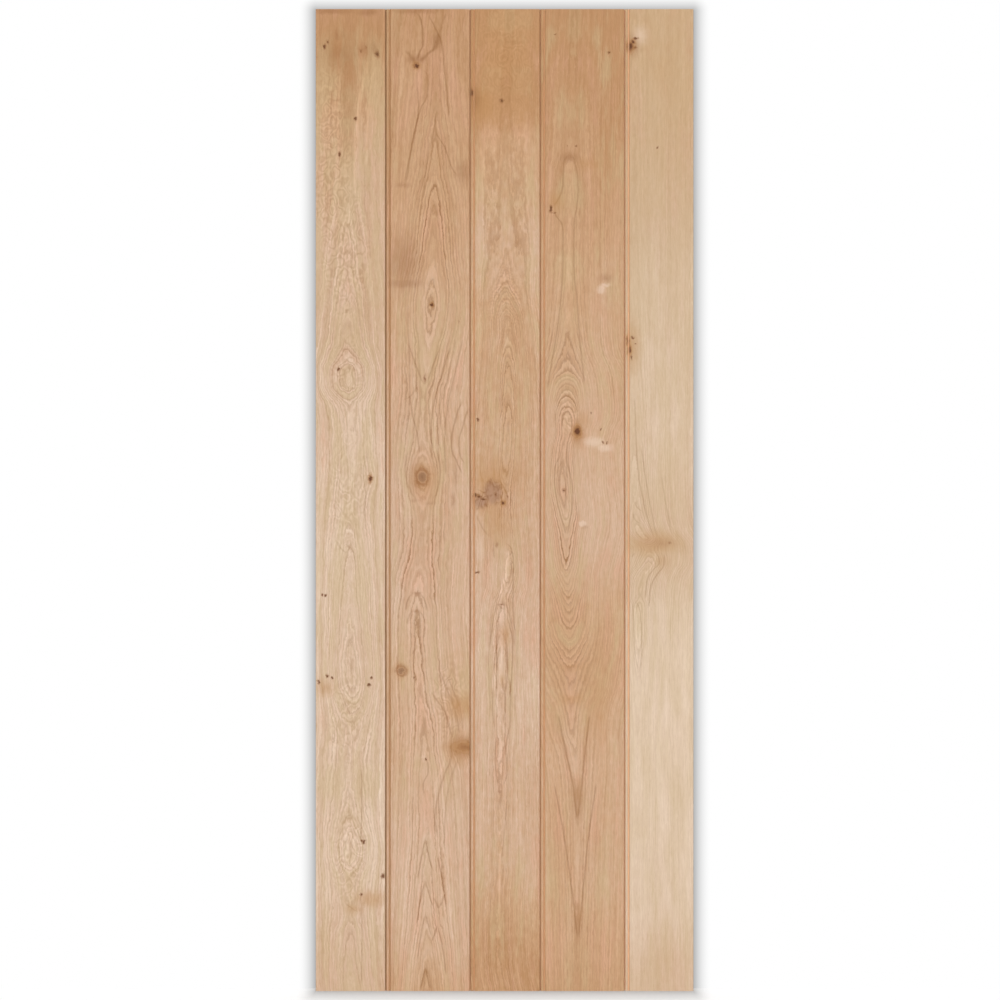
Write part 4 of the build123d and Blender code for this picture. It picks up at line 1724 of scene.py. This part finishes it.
@dataclass
class Studio:
    """A pale floor and wall with a painted shadow round the door, soft light from all round, and
    the camera.

    Attributes:
        low: The lowest corner of the door's box, in metres.
        high: Its highest corner.
        view_span: What the picture's width takes in at the door's face, in metres.
        lens: The camera's focal length, in millimetres.
        sensor: The camera's sensor width, in millimetres.
        off_centre: How far the view's middle is from the door's, across and up.
        view_depth: How far the camera sees.
        surround: The light that comes from every side.
        key: The light from straight in front, and as much from behind.
        overhead: The light from above.
        softness: How wide each lamp looks from the door, in degrees.
        painted_shadow_reach: How far the painted shadow on the wall reaches past the door.
        painted_shadow_depth: How much darker the painted shadow makes the wall and floor at the
            door.
        painted_shadow_power: How quickly that painted shadow falls off.
        foot_reach: How far the painted shadow reaches over the floor, in front of the door.
        stage_reach: How far the floor and the wall go on from the middle.
        floor_drop: How far the floor lies under the door's foot.
        wall_gap: How far the wall stands behind the ledges.
        floor_glow: How bright the floor is without any light.
        floor_matt: How much light it throws back, which keeps the door's shadow.
    """

    low: Corner
    high: Corner
    view_span: float = 2.0175
    lens: float = 135.0
    sensor: float = 36.0
    off_centre: tuple[float, float] = (-0.0093, 0.0001)
    view_depth: float = 100.0
    surround: float = 0.28
    key: float = 0.72
    overhead: float = 0.25
    softness: float = 80.0
    painted_shadow_reach: float = 0.038
    painted_shadow_depth: float = 0.62
    painted_shadow_power: float = 1.8
    foot_reach: float = 0.285
    stage_reach: float = 9.0
    floor_drop: float = 0.0005
    wall_gap: float = 0.0012
    floor_glow: float = 0.745
    floor_matt: float = 0.35

    def build(self) -> None:
        """Builds the stage, the lamps, the world and the camera."""
        self.build_floor()
        self.build_wall()
        self.build_lamps()
        self.build_world()
        self.build_camera()
        bpy.context.scene.view_settings.view_transform = "Standard"

    def build_floor(self) -> None:
        """Lays the floor under the door's foot, with a painted shadow in front of it."""
        reach = self.stage_reach
        height = self.low[2] - self.floor_drop
        corners = [(-reach, -reach, height), (reach, -reach, height)]
        corners += [(reach, reach, height), (-reach, reach, height)]
        reaches = {0: self.painted_shadow_reach, 1: self.foot_reach}
        white = self.white("floor", reaches, self.floor_glow, self.floor_matt)
        give(self.add_sheet("floor", corners), white)

    def build_wall(self) -> None:
        """Stands the wall just behind the ledges, where it takes and throws no light; its shadow is
        painted.
        """
        reach = self.stage_reach
        depth = self.high[1] + self.wall_gap
        corners = [(-reach, depth, self.low[2]), (reach, depth, self.low[2])]
        corners += [(reach, depth, reach), (-reach, depth, reach)]
        reaches = {0: self.painted_shadow_reach, 2: self.painted_shadow_reach}
        give(self.add_sheet("wall", corners), self.white("wall", reaches, 1.0, 0.0))

    @staticmethod
    def add_sheet(name: str, corners: list[Corner]) -> bpy.types.Object:
        """Adds a flat four-cornered sheet.

        Args:
            name: Its name.
            corners: Its corners, anticlockwise from where it is seen.

        Returns:
            The sheet, marked as part of the stage.
        """
        mesh = bpy.data.meshes.new(name)
        mesh.from_pydata(corners, [], [(0, 1, 2, 3)])
        sheet = bpy.data.objects.new(name, mesh)
        bpy.context.scene.collection.objects.link(sheet)
        sheet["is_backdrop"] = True
        return sheet

    def white(
        self, name: str, reaches: dict[int, float], glow: float, matt: float
    ) -> bpy.types.Material:
        """A white that the camera alone sees, so it neither lights nor shades the door.

        It is clear from its back, and a painted shadow darkens it towards the door.

        Args:
            name: What it is on.
            reaches: How far from the door's box it is plain again, by the number of each
                axis that the sheet lies along.
            glow: How bright it is without any light.
            matt: How much light it throws back.

        Returns:
            The material.
        """
        made = bpy.data.materials.new(f"{name}_white")
        made.use_nodes = True
        graph = Graph(made.node_tree)
        made.node_tree.nodes.remove(made.node_tree.nodes["Principled BSDF"])
        body = graph.node("ShaderNodeBsdfDiffuse")
        body.inputs["Color"].default_value = (matt, matt, matt, 1.0)
        shine = graph.node("ShaderNodeEmission")
        # The painted shadow dims the glow towards the door.
        bright = graph.math("MULTIPLY", self.painted_shadow(graph, reaches), glow)
        graph.feed(shine.inputs["Strength"], bright)
        both = graph.fill(graph.node("ShaderNodeAddShader"), (body.outputs[0], shine.outputs[0]))
        seen = graph.node("ShaderNodeLightPath").outputs["Is Camera Ray"]
        back = graph.node("ShaderNodeNewGeometry").outputs["Backfacing"]
        seen = graph.math("SUBTRACT", seen, back, clamp=True)
        clear = graph.node("ShaderNodeBsdfTransparent").outputs[0]
        choice = graph.fill(graph.node("ShaderNodeMixShader"), (seen, clear, both))
        graph.feed(made.node_tree.nodes["Material Output"].inputs["Surface"], choice)
        return made

    def painted_shadow(self, graph: Graph, reaches: dict[int, float]) -> bpy.types.NodeSocket:
        """Paints a soft shadow on a white sheet, darker towards the door's box.

        Args:
            graph: The sheet's graph.
            reaches: How far from the box the sheet is plain again, by axis.

        Returns:
            How bright the sheet is under the painted shadow, from 0 to 1.
        """
        spot = graph.split(graph.node("ShaderNodeTexCoord").outputs["Object"])
        gaps = []
        for axis, reach in reaches.items():
            middle = (self.low[axis] + self.high[axis]) / 2
            off = graph.math("ABSOLUTE", graph.math("SUBTRACT", spot[axis], middle))
            gap = graph.math("SUBTRACT", off, (self.high[axis] - self.low[axis]) / 2)
            share = graph.math("DIVIDE", graph.math("MAXIMUM", gap, 0.0), reach)
            gaps.append(graph.math("POWER", share, 2.0))
        away = graph.math("SQRT", graph.math("ADD", *gaps))
        shade = graph.math("SUBTRACT", 1.0, away, clamp=True)
        shade = graph.math("POWER", shade, self.painted_shadow_power)
        return graph.math("SUBTRACT", 1.0, graph.math("MULTIPLY", shade, self.painted_shadow_depth))

    def build_lamps(self) -> None:
        """Hangs the lamps: one in front, one behind and one overhead."""
        quarter = math.pi / 2
        turns = {
            "key": (self.key, (quarter, 0.0, 0.0)),
            "key_behind": (self.key, (-quarter, 0.0, 0.0)),
            "overhead": (self.overhead, (0.0, 0.0, 0.0)),
        }
        for name, (strength, turn) in turns.items():
            data = bpy.data.lights.new(name, "SUN")
            data.energy = strength * math.pi
            data.angle = math.radians(self.softness)
            lamp = bpy.data.objects.new(name, data)
            lamp.rotation_euler = turn
            lamp.visible_glossy = False
            bpy.context.scene.collection.objects.link(lamp)

    def build_world(self) -> None:
        """Makes the surroundings, which are white where they are seen or mirrored."""
        world = bpy.data.worlds.new("surroundings")
        world.use_nodes = True
        bpy.context.scene.world = world
        graph = Graph(world.node_tree)
        paths = graph.node("ShaderNodeLightPath").outputs
        direct = graph.math("ADD", paths["Is Camera Ray"], paths["Is Glossy Ray"])
        seen = graph.math("ADD", direct, paths["Is Transmission Ray"], clamp=True)
        glow = world.node_tree.nodes["Background"]
        glow.inputs["Color"].default_value = (1.0, 1.0, 1.0, 1.0)
        strength = graph.math("MULTIPLY_ADD", seen, 1.0 - self.surround, self.surround)
        graph.feed(glow.inputs["Strength"], strength)

    def build_camera(self) -> None:
        """Sets the camera square in front of the door."""
        data = bpy.data.cameras.new("camera")
        data.lens = self.lens
        data.sensor_width = self.sensor
        data.clip_end = self.view_depth
        camera = bpy.data.objects.new("camera", data)
        away = self.view_span * self.lens / self.sensor
        across = (self.low[0] + self.high[0]) / 2 + self.off_centre[0]
        up = (self.low[2] + self.high[2]) / 2 + self.off_centre[1]
        camera.location = (across, self.low[1] - away, up)
        camera.rotation_euler = (math.pi / 2, 0.0, 0.0)
        bpy.context.scene.collection.objects.link(camera)
        bpy.context.scene.camera = camera


def plain(bounds: tuple) -> list[list[float]]:
    """Turns a box's corners into lists of numbers."""
    return [[float(value) for value in corner] for corner in bounds]


def main() -> list[list[float]]:
    """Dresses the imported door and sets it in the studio.

    Returns:
        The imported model's box, from before anything was added.
    """
    logging.basicConfig(level=logging.INFO, format="%(name)s: %(message)s")
    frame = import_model()
    packed_box = plain(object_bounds())
    kit = GroupKit()
    BoardedFront().dress(frame["nodes"], kit)
    LedgedBack().dress(frame["nodes"], kit)
    Studio(*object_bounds()).build()
    return packed_box


if __name__ == "__main__":
    cad_box = main()
